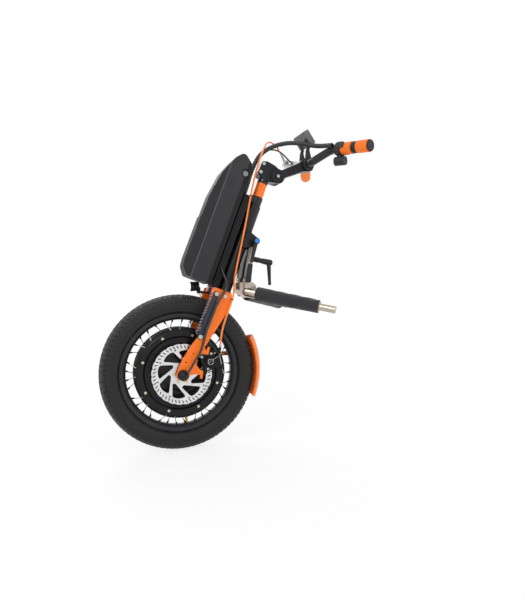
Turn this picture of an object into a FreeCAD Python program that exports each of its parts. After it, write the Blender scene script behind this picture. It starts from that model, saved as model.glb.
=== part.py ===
import FreeCAD, Part
import math
import os

# A clip-on front drive for a manual wheelchair: a hub-motor wheel in a fork, a battery on
# the steering column, a tilting handlebar stem and two docking arms with foam sleeves.
# Millimetres. +X is the device's left, -Y is the way it drives, +Z is up.
# The origin is the tyre's contact point on the ground, under the axle.

os.makedirs("parts", exist_ok=True)

# Wheel
TYRE_RADIUS = 209.5
TYRE_LIP_HALF = 19.048
TYRE_WALL = 4.2
TYRE_GROOVES = 4
TYRE_GROOVE_PITCH = 9.0
TYRE_GROOVE_DEPTH = 1.6
RIM_RADIUS = 159.0
RIM_DEPTH = 17.5
RIM_HALF_WIDTH = 16.0
RIM_WALL = 2.6
SPOKE_COUNT = 36
SPOKE_RADIUS = 1.1
SPOKE_LEAN = 4.5
NIPPLE_RADIUS = 2.3
NIPPLE_LENGTH = 7.0
VALVE_RADIUS = 3.0
VALVE_CLEARANCE = 1.5
VALVE_ANGLE = -83.5
HUB_RADIUS = 122.0
HUB_HALF_WIDTH = 21.0
HUB_LIP = 8.0
COVER_WALL = 4.0
COVER_DISH = 94.0
COVER_SCREWS = 8
COVER_SCREW_CIRCLE = 104.0
COVER_SCREW_PHASE = 25.5
BOSS_RADIUS = 26.0
BOSS_REACH = 44.8
BEARING_RADIUS = 20.0
BEARING_WIDTH = 12.0
BEARING_FACE = 22.0
BEARING_GAP = 0.05
ROTOR_RADIUS = 80.0
ROTOR_THICKNESS = 2.0
ROTOR_ARMS = 8
ROTOR_WAVES = 24
ROTOR_SLOTS = 56
ROTOR_BOLT_CIRCLE = 22.0
ROTOR_BOLTS = 6
MAGNET_WALL = 5.0
AIR_GAP = 0.8
STATOR_TEETH = 18

# Axle and fork
AXLE_RADIUS = 8.5
AXLE_END_RADIUS = 6.0
FORK_SPACING = 115.0
BLADE_THICKNESS = 6.0
DROPOUT_RADIUS = 17.0
AXLE_SLOT_CLEARANCE = 0.2
NUT_RADIUS = 13.0
NUT_HEIGHT = 17.0
WASHER_THICKNESS = 2.5
TILT = 22.0
FORK_OFFSET = 40.8
BLADE_TOP = 226.0
CROWN_TOP = 228.0
CROWN_PLATE = 14.0
CROWN_CHEEK = 8.0
CROWN_FRONT = -38.0
CROWN_BACK = 10.0
BRACE_WIDTH = 14.5
BRACE_THICKNESS = 4.0
SPRING_COIL_RADIUS = 3.3
SPRING_WIRE = 2.2
SPRING_TURNS = 14

# Steering column
STEERER_RADIUS = 12.7
STEERER_BORE = 10.7
STEERER_TOP = 606.0
HEAD_TUBE_RADIUS = 19.0
HEAD_TUBE_WALL = 2.2
HEAD_TUBE_BOTTOM = 235.0
HEAD_TUBE_TOP = 480.0
CUP_RADIUS = 20.4
CUP_HEIGHT = 5.0
RUN_GAP = 0.3
CLAMP_COLLAR_TOP = 511.0
ORANGE_COLLAR_TOP = 551.0
BLACK_COLLAR_TOP = 560.0
COLLAR_RADIUS = 14.8

# Battery and controller, on the front of the column
BATTERY_HALF_WIDTH = 45.0
BATTERY_BACK = -48.0
BATTERY_FRONT = -132.0
BATTERY_BOTTOM = 232.0
BATTERY_SEAM = 398.0
BATTERY_TOP = 598.0
BATTERY_STEP = 2.0
CONTROLLER_HALF_WIDTH = 29.0
CONTROLLER_BACK = -22.5
CONTROLLER_FRONT = -43.0
CONTROLLER_TOP = 500.0
RAIL_HALF_WIDTH = 20.0

# Mudguard
GUARD_CENTRE = 193.0
GUARD_SECTION = 35.0
GUARD_WALL = 3.2
GUARD_START = -22.0
GUARD_END = 23.0
GUARD_LIP = 58.0

# Stem and handlebar
PIVOT_P = 31.5
PIVOT_T = 585.6
PIVOT_DISC = 20.5
STEM_REACH = 100.0
STEM_RISE = 21.8
STEM_HALF_WIDTH = 19.5
BAR_RADIUS = 11.1
BAR_CENTRE_RADIUS = 12.7
CLAMP_WALL = 6.5
GRIP_RADIUS = 15.8
GRIP_START = 36.0
GRIP_END = 89.0
SLEEVE_START = 1.0
HOUSING_START = -22.0
HOUSING_RADIUS = 19.5
DISPLAY_WIDTH = 82.0
DISPLAY_HEIGHT = 43.0
DISPLAY_DEPTH = 14.0

# Docking unit
CHANNEL_LEAN = 12.8
CHANNEL_FOOT_Y = 183.0
CHANNEL_FOOT_Z = 458.0
CHANNEL_HALF_WIDTH = 20.0
CHANNEL_DEPTH = 19.0
CHANNEL_WALL = 3.0
CHANNEL_TOP = 100.0
CHANNEL_BOTTOM = -34.0
SLIDE_GAP = 0.4
TILT_PIVOT_Y = 10.0
TILT_PIVOT_Z = 104.8
LUG_WALL = 5.0
LUG_RADIUS = 11.0
EYE_RADIUS = 9.0
PIVOT_BOLT = 4.0
STUD_GAP = 0.08
ARM_SLEEVE_RADIUS = 14.0
ARM_TUBE_RADIUS = 9.5
ARM_TUBE_WALL = 2.0
ARM_TUBE_GAP = 0.15
ARM_LENGTH = 209.0
ARM_TUBE_OUT = 44.0
ARM_TUBE_START = 60.0
ARM_PLUG_LENGTH = 37.0
ARM_PLUG_ROUND = 1.0
ARM_GROOVE_WIDTH = 2.0
ARM_GROOVE_DEPTH = 0.8
FOAM_ROOT_RADIUS = 20.6
FOAM_TIP_RADIUS = 18.0
FOAM_ROOT_ROUND = 5.0
FOAM_TIP_ROUND = 3.0
FOAM_GAP = 0.02
FOAM_START = 30.0
LEVER_HUB_RADIUS = 9.0

# Bolts, cable ends, levers and controls
CROWN_BOLTS = ((-31.5, 212.0), (-6.0, 214.0))
BRACE_FOOT = (-33.6, 92.0)
CABLE_X = 62.0
BARREL_FOOT = (97.0, 262.0)
BARREL_TOP = (101.0, 275.0)
ARM_PIVOT_RADIUS = 78.0
LIGHT_RADIUS = 13.0
LOCK_P = -62.0
LOCK_T = 547.0
STEM_BOLTS = ((-18.5, 602.0), (-19.0, 577.0))
BAR_STRAIGHT = 42.0
BAR_BEND_REACH = 16.0
POD_RADIUS = 12.0
DISPLAY_TILT = 32.5
LEVER_PIN = 2.0
PERCH_BARREL = ((-103.0, 361.0, 811.0), (-102.0, 353.5, 824.5))
PERCH_STATION = 20.6
HEIGHT_LEVER_Z = 59.3
BRACKET_HALF_WIDTH = 31.0
CAM_PIN = 3.0
CAM_PIVOT_Y = 187.5
CAM_PIVOT_Z = 452.0


def vec(x, y, z):
    return FreeCAD.Vector(x, y, z)


X_AXIS = vec(1, 0, 0)
Y_AXIS = vec(0, 1, 0)
Z_AXIS = vec(0, 0, 1)

AXIS_Y = FORK_OFFSET / math.cos(math.radians(TILT))
AXLE_P = -FORK_OFFSET
AXLE_T = -AXIS_Y * math.sin(math.radians(TILT))
COLUMN = FreeCAD.Placement(vec(0, AXIS_Y, TYRE_RADIUS), FreeCAD.Rotation(X_AXIS, -TILT))
WHEEL = FreeCAD.Placement(vec(0, 0, TYRE_RADIUS), FreeCAD.Rotation())
CHANNEL = FreeCAD.Placement(vec(0, CHANNEL_FOOT_Y, CHANNEL_FOOT_Z),
                            FreeCAD.Rotation(X_AXIS, -CHANNEL_LEAN))
STEM_PIVOT = COLUMN.multVec(vec(0, PIVOT_P, PIVOT_T))
STEM = FreeCAD.Placement(STEM_PIVOT, FreeCAD.Rotation(X_AXIS, STEM_RISE))
BAR_CENTRE = STEM.multVec(vec(0, STEM_REACH, 0))
RIM_INNER_RADIUS = RIM_RADIUS - RIM_DEPTH
BLADE_FACE = FORK_SPACING / 2 + BLADE_THICKNESS

# Places of the lamp, the grips, the controls and the arms
LIGHT_CENTRE = vec(0, 37.0, 438.8)
LIGHT_PIVOT = vec(0, 60.0, 423.0)
GRIP_FOOT = vec(130.0, 440.0, 798.0)
GRIP_TIP = vec(213.0, 476.1, 788.1)
BAR_BEND = GRIP_FOOT - (GRIP_TIP - GRIP_FOOT).normalize() * 41.7
DISPLAY_CENTRE = vec(0, 383.5, 850.0)
LEVER_PIVOT = vec(-106.0, 366.0, 808.0)
ARM_START = vec(29.0, 187.0, 419.4)
ARM_WAY = vec(0.593, 0.778, -0.206)

# The cords' points, from one end to the other
BRAKE_CABLE = [(-101.98, 353.35, 824.76), (-100.6, 342.7, 843.9), (-87.0, 323.0, 858.5),
               (-61.0, 299.0, 857.0), (-34.0, 280.0, 846.0), (-9.0, 265.5, 829.5),
               (8.0, 247.0, 797.0), (24.0, 226.0, 749.0), (32.0, 211.8, 702.6),
               (33.0, 200.5, 655.0), (29.0, 191.0, 607.0), (30.5, 177.0, 550.0),
               (31.0, 163.0, 496.0), (34.5, 153.5, 457.0), (47.0, 147.5, 432.5),
               (64.0, 142.5, 417.0), (71.0, 131.5, 389.5), (69.5, 118.0, 358.0),
               (65.5, 107.5, 325.0), (62.3, 102.9, 297.0), (62.0, 101.1, 275.3)]
LOOM = [(0.0, 196.07, 687.33), (0.0, 206.56, 713.3), (-1.0, 217.5, 747.5),
        (-4.0, 232.5, 780.0), (-10.0, 252.0, 807.0), (-13.0, 279.0, 826.0),
        (-8.0, 309.0, 837.0), (4.0, 338.0, 840.5), (25.0, 363.5, 834.5), (51.0, 384.5, 823.0),
        (80.0, 401.5, 815.0), (115.4, 416.2, 809.8)]
BRANCH = [(-12.0, 284.0, 822.0), (-28.0, 302.0, 826.0), (-50.0, 324.0, 828.0),
          (-70.0, 346.0, 823.0), (-86.0, 366.0, 813.0), (-99.4, 385.0, 803.8)]
MOTOR_CABLE = [(28.5, 119.0, 486.0), (38.0, 122.0, 470.0), (50.0, 127.0, 451.0),
               (64.5, 122.0, 433.0), (75.0, 108.0, 414.0), (76.0, 93.5, 394.0),
               (76.0, 83.0, 370.0), (76.0, 72.0, 345.0), (76.0, 60.0, 319.0),
               (76.0, 53.0, 291.0), (76.0, 44.0, 266.0), (77.0, 29.0, 246.0),
               (80.0, 17.0, 228.0), (82.5, 8.0, 217.5)]
pieces = {}


# Shape helpers
def placed(shape, placement):
    """The shape moved from its own frame into the part's frame."""
    moved = shape.copy()
    moved.Placement = placement.multiply(moved.Placement)
    return moved


def rounded_wire(corners, place):
    """A closed outline through (a, b, radius) corners, set in space by place(a, b)."""
    count = len(corners)
    points = [vec(a, b, 0) for a, b, radius in corners]
    enters = []
    middles = []
    leaves = []
    for index, here in enumerate(points):
        radius = corners[index][2]
        to_before = (points[index - 1] - here).normalize()
        to_after = (points[(index + 1) % count] - here).normalize()
        if radius == 0:
            enters.append(here)
            leaves.append(here)
            middles.append(here)
            continue
        half = to_before.getAngle(to_after) / 2
        reach = radius / math.tan(half)
        bisector = (to_before + to_after).normalize()
        enters.append(here + to_before * reach)
        leaves.append(here + to_after * reach)
        middles.append(here + bisector * (radius / math.sin(half) - radius))
    edges = []
    for index in range(count):
        nxt = (index + 1) % count
        if corners[index][2] > 0:
            arc = Part.Arc(place(enters[index]), place(middles[index]), place(leaves[index]))
            edges.append(arc.toShape())
        start = place(leaves[index])
        end = place(enters[nxt])
        if start.distanceToPoint(end) > 0.001:
            edges.append(Part.LineSegment(start, end).toShape())
    return Part.Wire(edges)


def side_plate(corners, x_from, x_to):
    """An outline of (y, z, radius) corners, thick along X."""
    wire = rounded_wire(corners, lambda v: vec(x_from, v.x, v.y))
    return Part.Face(wire).extrude(vec(x_to - x_from, 0, 0))


def top_plate(corners, z_from, z_to):
    """An outline of (x, y, radius) corners, thick along Z."""
    wire = rounded_wire(corners, lambda v: vec(v.x, v.y, z_from))
    return Part.Face(wire).extrude(vec(0, 0, z_to - z_from))


def front_plate(corners, y_from, y_to):
    """An outline of (x, z, radius) corners, thick along Y."""
    wire = rounded_wire(corners, lambda v: vec(v.x, y_from, v.y))
    return Part.Face(wire).extrude(vec(0, y_to - y_from, 0))


def turned_x(corners, angle=360.0):
    """An outline of (x, radius, corner) corners turned about the X axis."""
    wire = rounded_wire(corners, lambda v: vec(v.x, v.y, 0))
    return Part.Face(wire).revolve(vec(0, 0, 0), X_AXIS, angle)


def turned_z(corners):
    """An outline of (radius, z, corner) corners turned about the Z axis."""
    wire = rounded_wire(corners, lambda v: vec(v.x, 0, v.y))
    return Part.Face(wire).revolve(vec(0, 0, 0), Z_AXIS, 360)


def rod(start, end, radius):
    """A round bar between two points."""
    way = end - start
    return Part.makeCylinder(radius, way.Length, start, way)


def ring(start, end, outer, inner):
    """A round tube between two points."""
    return rod(start, end, outer).cut(rod(start, end, inner))


def mirrored(shape):
    """The same piece on the other side of the device."""
    return shape.mirror(vec(0, 0, 0), X_AXIS)


def route(points, name, longest_reach=1000.0):
    """Straight runs joined by tangent arcs as large as the runs or the reach allow."""
    enters = [points[0]]
    leaves = [points[0]]
    middles = [None]
    least = None
    for before, here, after in zip(points, points[1:], points[2:]):
        to_before = (before - here).normalize()
        to_after = (after - here).normalize()
        half = to_before.getAngle(to_after) / 2
        shorter = min(before.distanceToPoint(here), here.distanceToPoint(after))
        reach = min(0.45 * shorter, longest_reach)
        radius = reach * math.tan(half)
        bisector = (to_before + to_after).normalize()
        enters.append(here + to_before * reach)
        leaves.append(here + to_after * reach)
        middles.append(here + bisector * (radius / math.sin(half) - radius))
        least = radius if least is None else min(least, radius)
    enters.append(points[-1])
    edges = []
    for index in range(len(points) - 1):
        edges.append(Part.LineSegment(leaves[index], enters[index + 1]).toShape())
        if index + 1 < len(middles):
            arc = Part.Arc(enters[index + 1], middles[index + 1], leaves[index + 1])
            edges.append(arc.toShape())
    if least is not None:
        print(name, "least bend radius %.1f" % least)
    return Part.Wire(edges)


def swept(points, radius, name, longest_reach=1000.0):
    """A round cord or tube along a route of straight runs and arcs."""
    path = route(points, name, longest_reach)
    way = points[1] - points[0]
    section = Part.Wire([Part.Circle(points[0], way, radius).toShape()])
    shape = path.makePipeShell([section], True, False)
    expected = math.pi * radius * radius * path.Length
    print(name, "length %.0f, volume over section times length %.3f"
          % (path.Length, shape.Volume / expected))
    return shape


def polar(radius, angle, x=0.0):
    """A point at an angle about the X axis, from +Y towards +Z."""
    turn = math.radians(angle)
    return vec(x, radius * math.cos(turn), radius * math.sin(turn))


def turned_about_x(shape, angle):
    """The shape turned about the wheel's own axis."""
    copy = shape.copy()
    copy.rotate(vec(0, 0, 0), X_AXIS, angle)
    return copy


def button_screw(centre, direction, radius, height):
    """A socket-head screw seen from outside: a round head with a hexagon socket."""
    head = Part.makeCylinder(radius, height, centre, direction)
    socket = Part.makeCylinder(radius * 0.5, height, centre + direction * (height * 0.5), direction)
    return head.cut(socket)


# Wheel
def make_tyre():
    """A hollow casing whose beads sit inside the rim's hooks, with grooves round the tread."""
    bead = RIM_HALF_WIDTH - RIM_WALL - RUN_GAP
    seat = RIM_RADIUS - 7.0
    lip = RIM_RADIUS + 0.8
    half = TYRE_LIP_HALF
    height = TYRE_RADIUS - lip
    section = (half ** 2 + height ** 2) / (2 * height)
    centre = TYRE_RADIUS - section
    inner = section - TYRE_WALL
    shoulder = centre - inner * 0.8
    inner_half = inner * 0.6
    outer_arc = Part.Arc(vec(half, lip, 0), vec(0, TYRE_RADIUS, 0), vec(-half, lip, 0))
    inner_arc = Part.Arc(vec(-inner_half, shoulder, 0), vec(0, centre + inner, 0),
                         vec(inner_half, shoulder, 0))
    throat = bead - TYRE_WALL
    left = [vec(-half, lip, 0), vec(-bead, lip, 0), vec(-bead, seat, 0), vec(-throat, seat, 0),
            vec(-throat, shoulder - 4, 0), vec(-inner_half, shoulder, 0)]
    edges = [outer_arc.toShape()]
    for start, end in zip(left, left[1:]):
        edges.append(Part.LineSegment(start, end).toShape())
    edges.append(inner_arc.toShape())
    right = [vec(-v.x, v.y, 0) for v in reversed(left)]
    for start, end in zip(right, right[1:]):
        edges.append(Part.LineSegment(start, end).toShape())
    tyre = Part.Face(Part.Wire(edges)).revolve(vec(0, 0, 0), X_AXIS, 360)
    for index in range(TYRE_GROOVES):
        side = (index - (TYRE_GROOVES - 1) / 2) * TYRE_GROOVE_PITCH
        depth = centre + math.sqrt(section ** 2 - side ** 2) - TYRE_GROOVE_DEPTH
        groove = ring(vec(side - 1.3, 0, 0), vec(side + 1.3, 0, 0), TYRE_RADIUS + 2, depth)
        tyre = tyre.cut(groove)
    return tyre


def make_rim():
    """A double-wall rim with bead hooks, a well and two chamfered shoulders."""
    wide = RIM_HALF_WIDTH
    well = RIM_RADIUS - 10.5
    half = [(wide, RIM_RADIUS, 0.8), (wide - RIM_WALL, RIM_RADIUS, 0.8),
            (wide - RIM_WALL, RIM_RADIUS - 7.4, 1.0), (5.0, well, 2.0)]
    low = [(8.0, RIM_INNER_RADIUS, 3.0), (wide, RIM_INNER_RADIUS + 8.0, 3.0)]
    corners = half + [(-x, r, c) for x, r, c in reversed(half)]
    corners += [(-x, r, c) for x, r, c in reversed(low)] + low
    rim = turned_x(corners)
    valve_hole = rod(polar(RIM_INNER_RADIUS - 2, VALVE_ANGLE), polar(RIM_RADIUS, VALVE_ANGLE),
                     VALVE_RADIUS + RUN_GAP)
    return rim.cut(valve_hole)


def spoke_ends(index):
    """Where a spoke leaves the hub's flange and where it meets the rim."""
    side = 1 if index % 2 == 0 else -1
    lean = SPOKE_LEAN if (index // 2) % 2 == 0 else -SPOKE_LEAN
    angle = 360.0 / SPOKE_COUNT * (index + 0.5)
    flange = polar(HUB_RADIUS - 5.5, angle + lean, side * (HUB_HALF_WIDTH - 0.1))
    rim = polar(RIM_INNER_RADIUS + 0.6, angle, side * 3.5)
    return flange, rim


def make_spokes():
    """Crossed spokes, each with its own nipple in the rim."""
    group = []
    for index in range(SPOKE_COUNT):
        flange, rim = spoke_ends(index)
        way = (rim - flange).normalize()
        foot = rim - way * (NIPPLE_LENGTH + 0.1)
        group.append(rod(flange, foot, SPOKE_RADIUS))
        group.append(rod(rim - way * NIPPLE_LENGTH, rim, NIPPLE_RADIUS))
    return Part.Compound(group)


def make_valve():
    stem_end = HUB_RADIUS + VALVE_CLEARANCE
    stem = rod(polar(RIM_RADIUS - 9, VALVE_ANGLE), polar(stem_end + 5, VALVE_ANGLE), VALVE_RADIUS)
    cap = rod(polar(stem_end + 7, VALVE_ANGLE), polar(stem_end, VALVE_ANGLE), VALVE_RADIUS + 0.9)
    return stem.fuse(cap)


def make_hub_shell():
    """The motor's drum: a spoke flange at each side and a hollow for the magnets."""
    edge = HUB_HALF_WIDTH
    bore = HUB_RADIUS - HUB_LIP
    half = [(edge, bore, 0.5), (edge, HUB_RADIUS - 5.0, 1.0), (edge - 4.5, HUB_RADIUS, 1.5),
            (edge - 8.5, HUB_RADIUS, 2.0), (edge - 11.0, HUB_RADIUS - 4.0, 2.0)]
    corners = half + [(-x, r, c) for x, r, c in reversed(half)]
    return turned_x(corners)


def make_hub_cover():
    """A dished side cover with a screw ring, a step and the boss that holds the bearing."""
    outer = HUB_RADIUS - HUB_LIP
    face = HUB_HALF_WIDTH
    bearing_end = BEARING_FACE + BEARING_WIDTH
    corners = [
        (face - COVER_WALL, outer, 0.0), (face + 0.6, outer, 1.2),
        (face + 2.4, outer - 4.0, 1.5), (face + 2.4, COVER_DISH + 4.0, 2.0),
        (face - 1.5, COVER_DISH, 2.0), (face - 0.5, 50.0, 12.0),
        (face + 5.0, BOSS_RADIUS + 6.0, 4.0), (face + 7.0, BOSS_RADIUS, 1.5),
        (BOSS_REACH, BOSS_RADIUS, 0.8), (BOSS_REACH, AXLE_RADIUS + 4.0, 0.5),
        (bearing_end, AXLE_RADIUS + 4.0, 0.0), (bearing_end, BEARING_RADIUS, 0.0),
        (face - COVER_WALL, BEARING_RADIUS, 0.0),
    ]
    cover = turned_x(corners)
    for index in range(ROTOR_BOLTS):
        angle = 360.0 / ROTOR_BOLTS * index
        start = polar(ROTOR_BOLT_CIRCLE, angle, BOSS_REACH - 8.0)
        cover = cover.cut(rod(start, polar(ROTOR_BOLT_CIRCLE, angle, BOSS_REACH), 2.5))
    return cover


def cover_screw(angle):
    centre = polar(COVER_SCREW_CIRCLE, angle, HUB_HALF_WIDTH + 2.4)
    return button_screw(centre, X_AXIS, 3.6, 2.2)


def make_wheel_screws():
    """The cover screws on both sides, and the rotor's bolts."""
    group = []
    for index in range(COVER_SCREWS):
        screw = cover_screw(COVER_SCREW_PHASE + 360.0 / COVER_SCREWS * index)
        group.append(screw)
        group.append(mirrored(screw))
    for index in range(ROTOR_BOLTS):
        angle = 360.0 / ROTOR_BOLTS * index
        head = polar(ROTOR_BOLT_CIRCLE, angle, BOSS_REACH + ROTOR_THICKNESS)
        shank = polar(ROTOR_BOLT_CIRCLE, angle, BOSS_REACH - 7.0)
        group.append(button_screw(head, X_AXIS, 4.2, 2.4).fuse(rod(shank, head, 2.4)))
    return Part.Compound(group)


def rotor_window():
    """One opening between two swept arms."""
    ends = [(65.0, 0.0), (66.0, 14.0), (65.0, 26.5), (44.0, -2.0), (35.0, -22.0)]
    rounds = [4.0, 20.0, 4.0, 30.0, 2.1]
    corners = []
    for (radius, angle), corner in zip(ends, rounds):
        point = polar(radius, angle)
        corners.append((point.y, point.z, corner))
    return side_plate(corners, BOSS_REACH - 1, BOSS_REACH + ROTOR_THICKNESS + 1)


def make_brake_rotor():
    """A wavy brake disc with swept arms, slanted slots and a hole at the end of each arm."""
    low = BOSS_REACH - 1
    high = BOSS_REACH + ROTOR_THICKNESS + 1
    back = vec(BOSS_REACH, 0, 0)
    face = vec(BOSS_REACH + ROTOR_THICKNESS, 0, 0)
    disc = rod(back, face, ROTOR_RADIUS)
    cuts = [rod(vec(low, 0, 0), vec(high, 0, 0), AXLE_RADIUS + 4.0)]
    for index in range(ROTOR_WAVES):
        angle = 360.0 / ROTOR_WAVES * index
        cuts.append(rod(polar(ROTOR_RADIUS + 16.6, angle, low),
                        polar(ROTOR_RADIUS + 16.6, angle, high), 18.0))
    window = rotor_window()
    for index in range(ROTOR_ARMS):
        turn = 360.0 / ROTOR_ARMS * index
        cuts.append(turned_about_x(window, turn + 156.0))
        cuts.append(rod(polar(66.0, turn + 147.5, low), polar(66.0, turn + 147.5, high), 2.4))
    slot = side_plate([(69.4, -2.6, 0.0), (76.0, 0.6, 0.0), (76.0, 2.8, 0.0), (69.4, -0.4, 0.0)],
                      low, high)
    for index in range(ROTOR_SLOTS):
        cuts.append(turned_about_x(slot, 360.0 / ROTOR_SLOTS * index))
    for index in range(ROTOR_BOLTS):
        angle = 360.0 / ROTOR_BOLTS * index
        cuts.append(rod(polar(ROTOR_BOLT_CIRCLE, angle, low),
                        polar(ROTOR_BOLT_CIRCLE, angle, high), 2.5))
    return disc.cut(Part.Compound(cuts))


def make_magnet_ring():
    outer = HUB_RADIUS - HUB_LIP - 0.1
    half = HUB_HALF_WIDTH - COVER_WALL - 1.0
    return ring(vec(-half, 0, 0), vec(half, 0, 0), outer, outer - MAGNET_WALL)


def make_hub_bearings():
    group = []
    for side in (1, -1):
        start = vec(side * BEARING_FACE, 0, 0)
        end = vec(side * (BEARING_FACE + BEARING_WIDTH), 0, 0)
        group.append(ring(start, end, BEARING_RADIUS, AXLE_RADIUS + BEARING_GAP))
    return Part.Compound(group)


def make_wheel():
    cover = make_hub_cover()
    spokes = make_spokes()
    shapes = {
        "tyre": make_tyre(),
        "wheel_rim": make_rim().cut(spokes),
        "spokes": spokes,
        "valve": make_valve(),
        "hub_shell": make_hub_shell().cut(spokes),
        "hub_covers": Part.Compound([cover, mirrored(cover)]),
        "wheel_screws": make_wheel_screws(),
        "brake_rotor": make_brake_rotor(),
        "magnet_ring": make_magnet_ring(),
        "hub_bearings": make_hub_bearings(),
    }
    for name, shape in shapes.items():
        pieces[name] = placed(shape, WHEEL)


# Axle group
def make_axle():
    """A stepped shaft with shoulders against the bearings and a flat-sided end in each dropout."""
    tip = BLADE_FACE + WASHER_THICKNESS + 12.0
    inner = FORK_SPACING / 2 - 2.0
    shaft = rod(vec(-inner, 0, 0), vec(inner, 0, 0), AXLE_RADIUS)
    ends = rod(vec(-tip, 0, 0), vec(tip, 0, 0), AXLE_END_RADIUS)
    shoulder_end = FORK_SPACING / 2
    spacer_start = BOSS_REACH + ROTOR_THICKNESS + 2.0
    spacers = []
    for side in (1, -1):
        spacers.append(rod(vec(side * spacer_start, 0, 0), vec(side * shoulder_end, 0, 0),
                           AXLE_RADIUS + 2.5))
    return shaft.fuse(ends).multiFuse(spacers).removeSplitter()


def make_stator():
    """A toothed lamination ring on a spider that is pressed on the axle."""
    outer = HUB_RADIUS - HUB_LIP - MAGNET_WALL - AIR_GAP
    half = 12.0
    core = ring(vec(-half, 0, 0), vec(half, 0, 0), outer - 14.0, outer - 24.0)
    hub = ring(vec(-half, 0, 0), vec(half, 0, 0), AXLE_RADIUS + 8.0, AXLE_RADIUS)
    teeth = []
    for index in range(STATOR_TEETH):
        angle = 360.0 / STATOR_TEETH * index
        stem = side_plate([(outer - 16, -3.5, 0), (outer - 3, -3.5, 0), (outer - 3, 3.5, 0),
                           (outer - 16, 3.5, 0)], -half, half)
        shoe = side_plate([(outer - 4, -12.0, 0), (outer, -12.0, 0.5), (outer, 12.0, 0.5),
                           (outer - 4, 12.0, 0)], -half, half)
        teeth.append(turned_about_x(stem.fuse(shoe), angle))
    web = []
    for index in range(6):
        arm = side_plate([(AXLE_RADIUS + 6, -5, 0), (outer - 22, -5, 0), (outer - 22, 5, 0),
                          (AXLE_RADIUS + 6, 5, 0)], -5, 5)
        web.append(turned_about_x(arm, 60.0 * index))
    trim = rod(vec(-half, 0, 0), vec(half, 0, 0), outer)
    return core.multiFuse([hub] + teeth + web).common(trim).removeSplitter()


def make_axle_nuts():
    """A washer and a domed nut at each end of the axle."""
    face = BLADE_FACE
    washer = ring(vec(face, 0, 0), vec(face + WASHER_THICKNESS, 0, 0), NUT_RADIUS + 1.5,
                  AXLE_END_RADIUS + 0.05)
    start = face + WASHER_THICKNESS
    corners = [(start, AXLE_END_RADIUS, 0), (start, NUT_RADIUS, 1.0),
               (start + NUT_HEIGHT * 0.55, NUT_RADIUS, 4.0),
               (start + NUT_HEIGHT, 4.0, 3.0), (start + NUT_HEIGHT, 0, 0),
               (start + 12.2, 0, 0), (start + 12.2, AXLE_END_RADIUS, 0)]
    dome = turned_x(corners)
    return Part.Compound([washer, dome, mirrored(washer), mirrored(dome)])


# Fork
def blade_rear(with_tabs):
    """The blade's rear edge from the top down, with the brake's two tabs where it has them."""
    if not with_tabs:
        return [(12.5, 172.0, 40.0), (-13.0, 67.5, 50.0), (-22.0, 10.0, 30.0), (-26.0, -14.0, 0)]
    return [
        (12.5, 172.0, 40.0), (-12.0, 69.0, 2.0), (-4.5, 62.5, 1.0), (-4.5, 73.5, 0.6),
        (1.5, 74.5, 0.6), (3.5, 54.5, 1.5), (-14.0, 50.5, 5.0), (-19.0, 40.0, 8.0),
        (-18.0, 20.0, 11.0), (-4.0, 10.5, 5.0), (5.5, 10.0, 0.8), (10.0, -9.5, 0.8),
        (4.2, -11.0, 0.8), (2.6, -1.8, 1.5), (-14.0, -5.5, 6.0), (-28.0, -14.0, 0),
    ]


def make_blade(with_tabs):
    """A flat fork blade with its dropout, set at the left side."""
    inner = FORK_SPACING / 2
    corners = [(-42.0, BLADE_TOP, 3.0), (9.0, BLADE_TOP, 7.0), (13.5, 212.0, 8.0)]
    corners += blade_rear(with_tabs)
    corners += [(-52.0, -22.0, 0), (-57.6, -10.0, 0), (-57.0, 20.0, 40.0), (-45.5, 70.0, 50.0),
                (-36.5, 93.0, 12.0)]
    plate = side_plate(corners, inner, BLADE_FACE)
    end = Part.makeCylinder(DROPOUT_RADIUS, BLADE_THICKNESS, vec(inner, AXLE_P, AXLE_T), X_AXIS)
    blade = plate.fuse(end).removeSplitter()
    slot_radius = AXLE_END_RADIUS + AXLE_SLOT_CLEARANCE
    bore = Part.makeCylinder(slot_radius, BLADE_THICKNESS, vec(inner, AXLE_P, AXLE_T), X_AXIS)
    mouth = Part.makeBox(BLADE_THICKNESS, 2 * slot_radius, DROPOUT_RADIUS + 4,
                         vec(inner, AXLE_P - slot_radius, AXLE_T - DROPOUT_RADIUS - 4))
    cuts = [bore, mouth]
    for p, t in ((-34.0, 45.0), (-45.0, 17.5)):
        cuts.append(Part.makeCylinder(2.0, BLADE_THICKNESS, vec(inner, p, t), X_AXIS))
    for p, t in CROWN_BOLTS:
        cuts.append(Part.makeCylinder(3.2, BLADE_THICKNESS, vec(inner, p, t), X_AXIS))
    cuts.append(Part.makeCylinder(3.2, BLADE_THICKNESS, vec(inner, *BRACE_FOOT), X_AXIS))
    return blade.cut(Part.Compound(cuts))


def make_crown():
    """A machined yoke over the tyre: a top plate, two cheeks and the steerer's seat."""
    side = FORK_SPACING / 2
    under = CROWN_TOP - CROWN_PLATE
    half = [(side, CROWN_TOP, 2.0), (side, 197.0, 2.0), (side - CROWN_CHEEK, 197.0, 2.0),
            (side - CROWN_CHEEK - 6.0, under, 8.0)]
    corners = half + [(-x, t, r) for x, t, r in reversed(half)]
    yoke = front_plate(corners, CROWN_FRONT, CROWN_BACK)
    seat = Part.makeCylinder(CUP_RADIUS + 1.0, CROWN_PLATE + 1.5, vec(0, 0, under), Z_AXIS)
    bore = Part.makeCylinder(STEERER_RADIUS, CROWN_PLATE + 4, vec(0, 0, under - 1), Z_AXIS)
    trim = Part.makeBox(2 * side, CROWN_BACK + 13.0 - CROWN_FRONT, 60,
                        vec(-side, CROWN_FRONT, 190))
    shape = yoke.fuse(seat).common(trim).cut(bore)
    for p, t in CROWN_BOLTS:
        for sign in (1, -1):
            start = vec(sign * (side - CROWN_CHEEK - 2), p, t)
            shape = shape.cut(rod(start, vec(sign * side, p, t), 3.1))
    return shape.removeSplitter()


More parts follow.
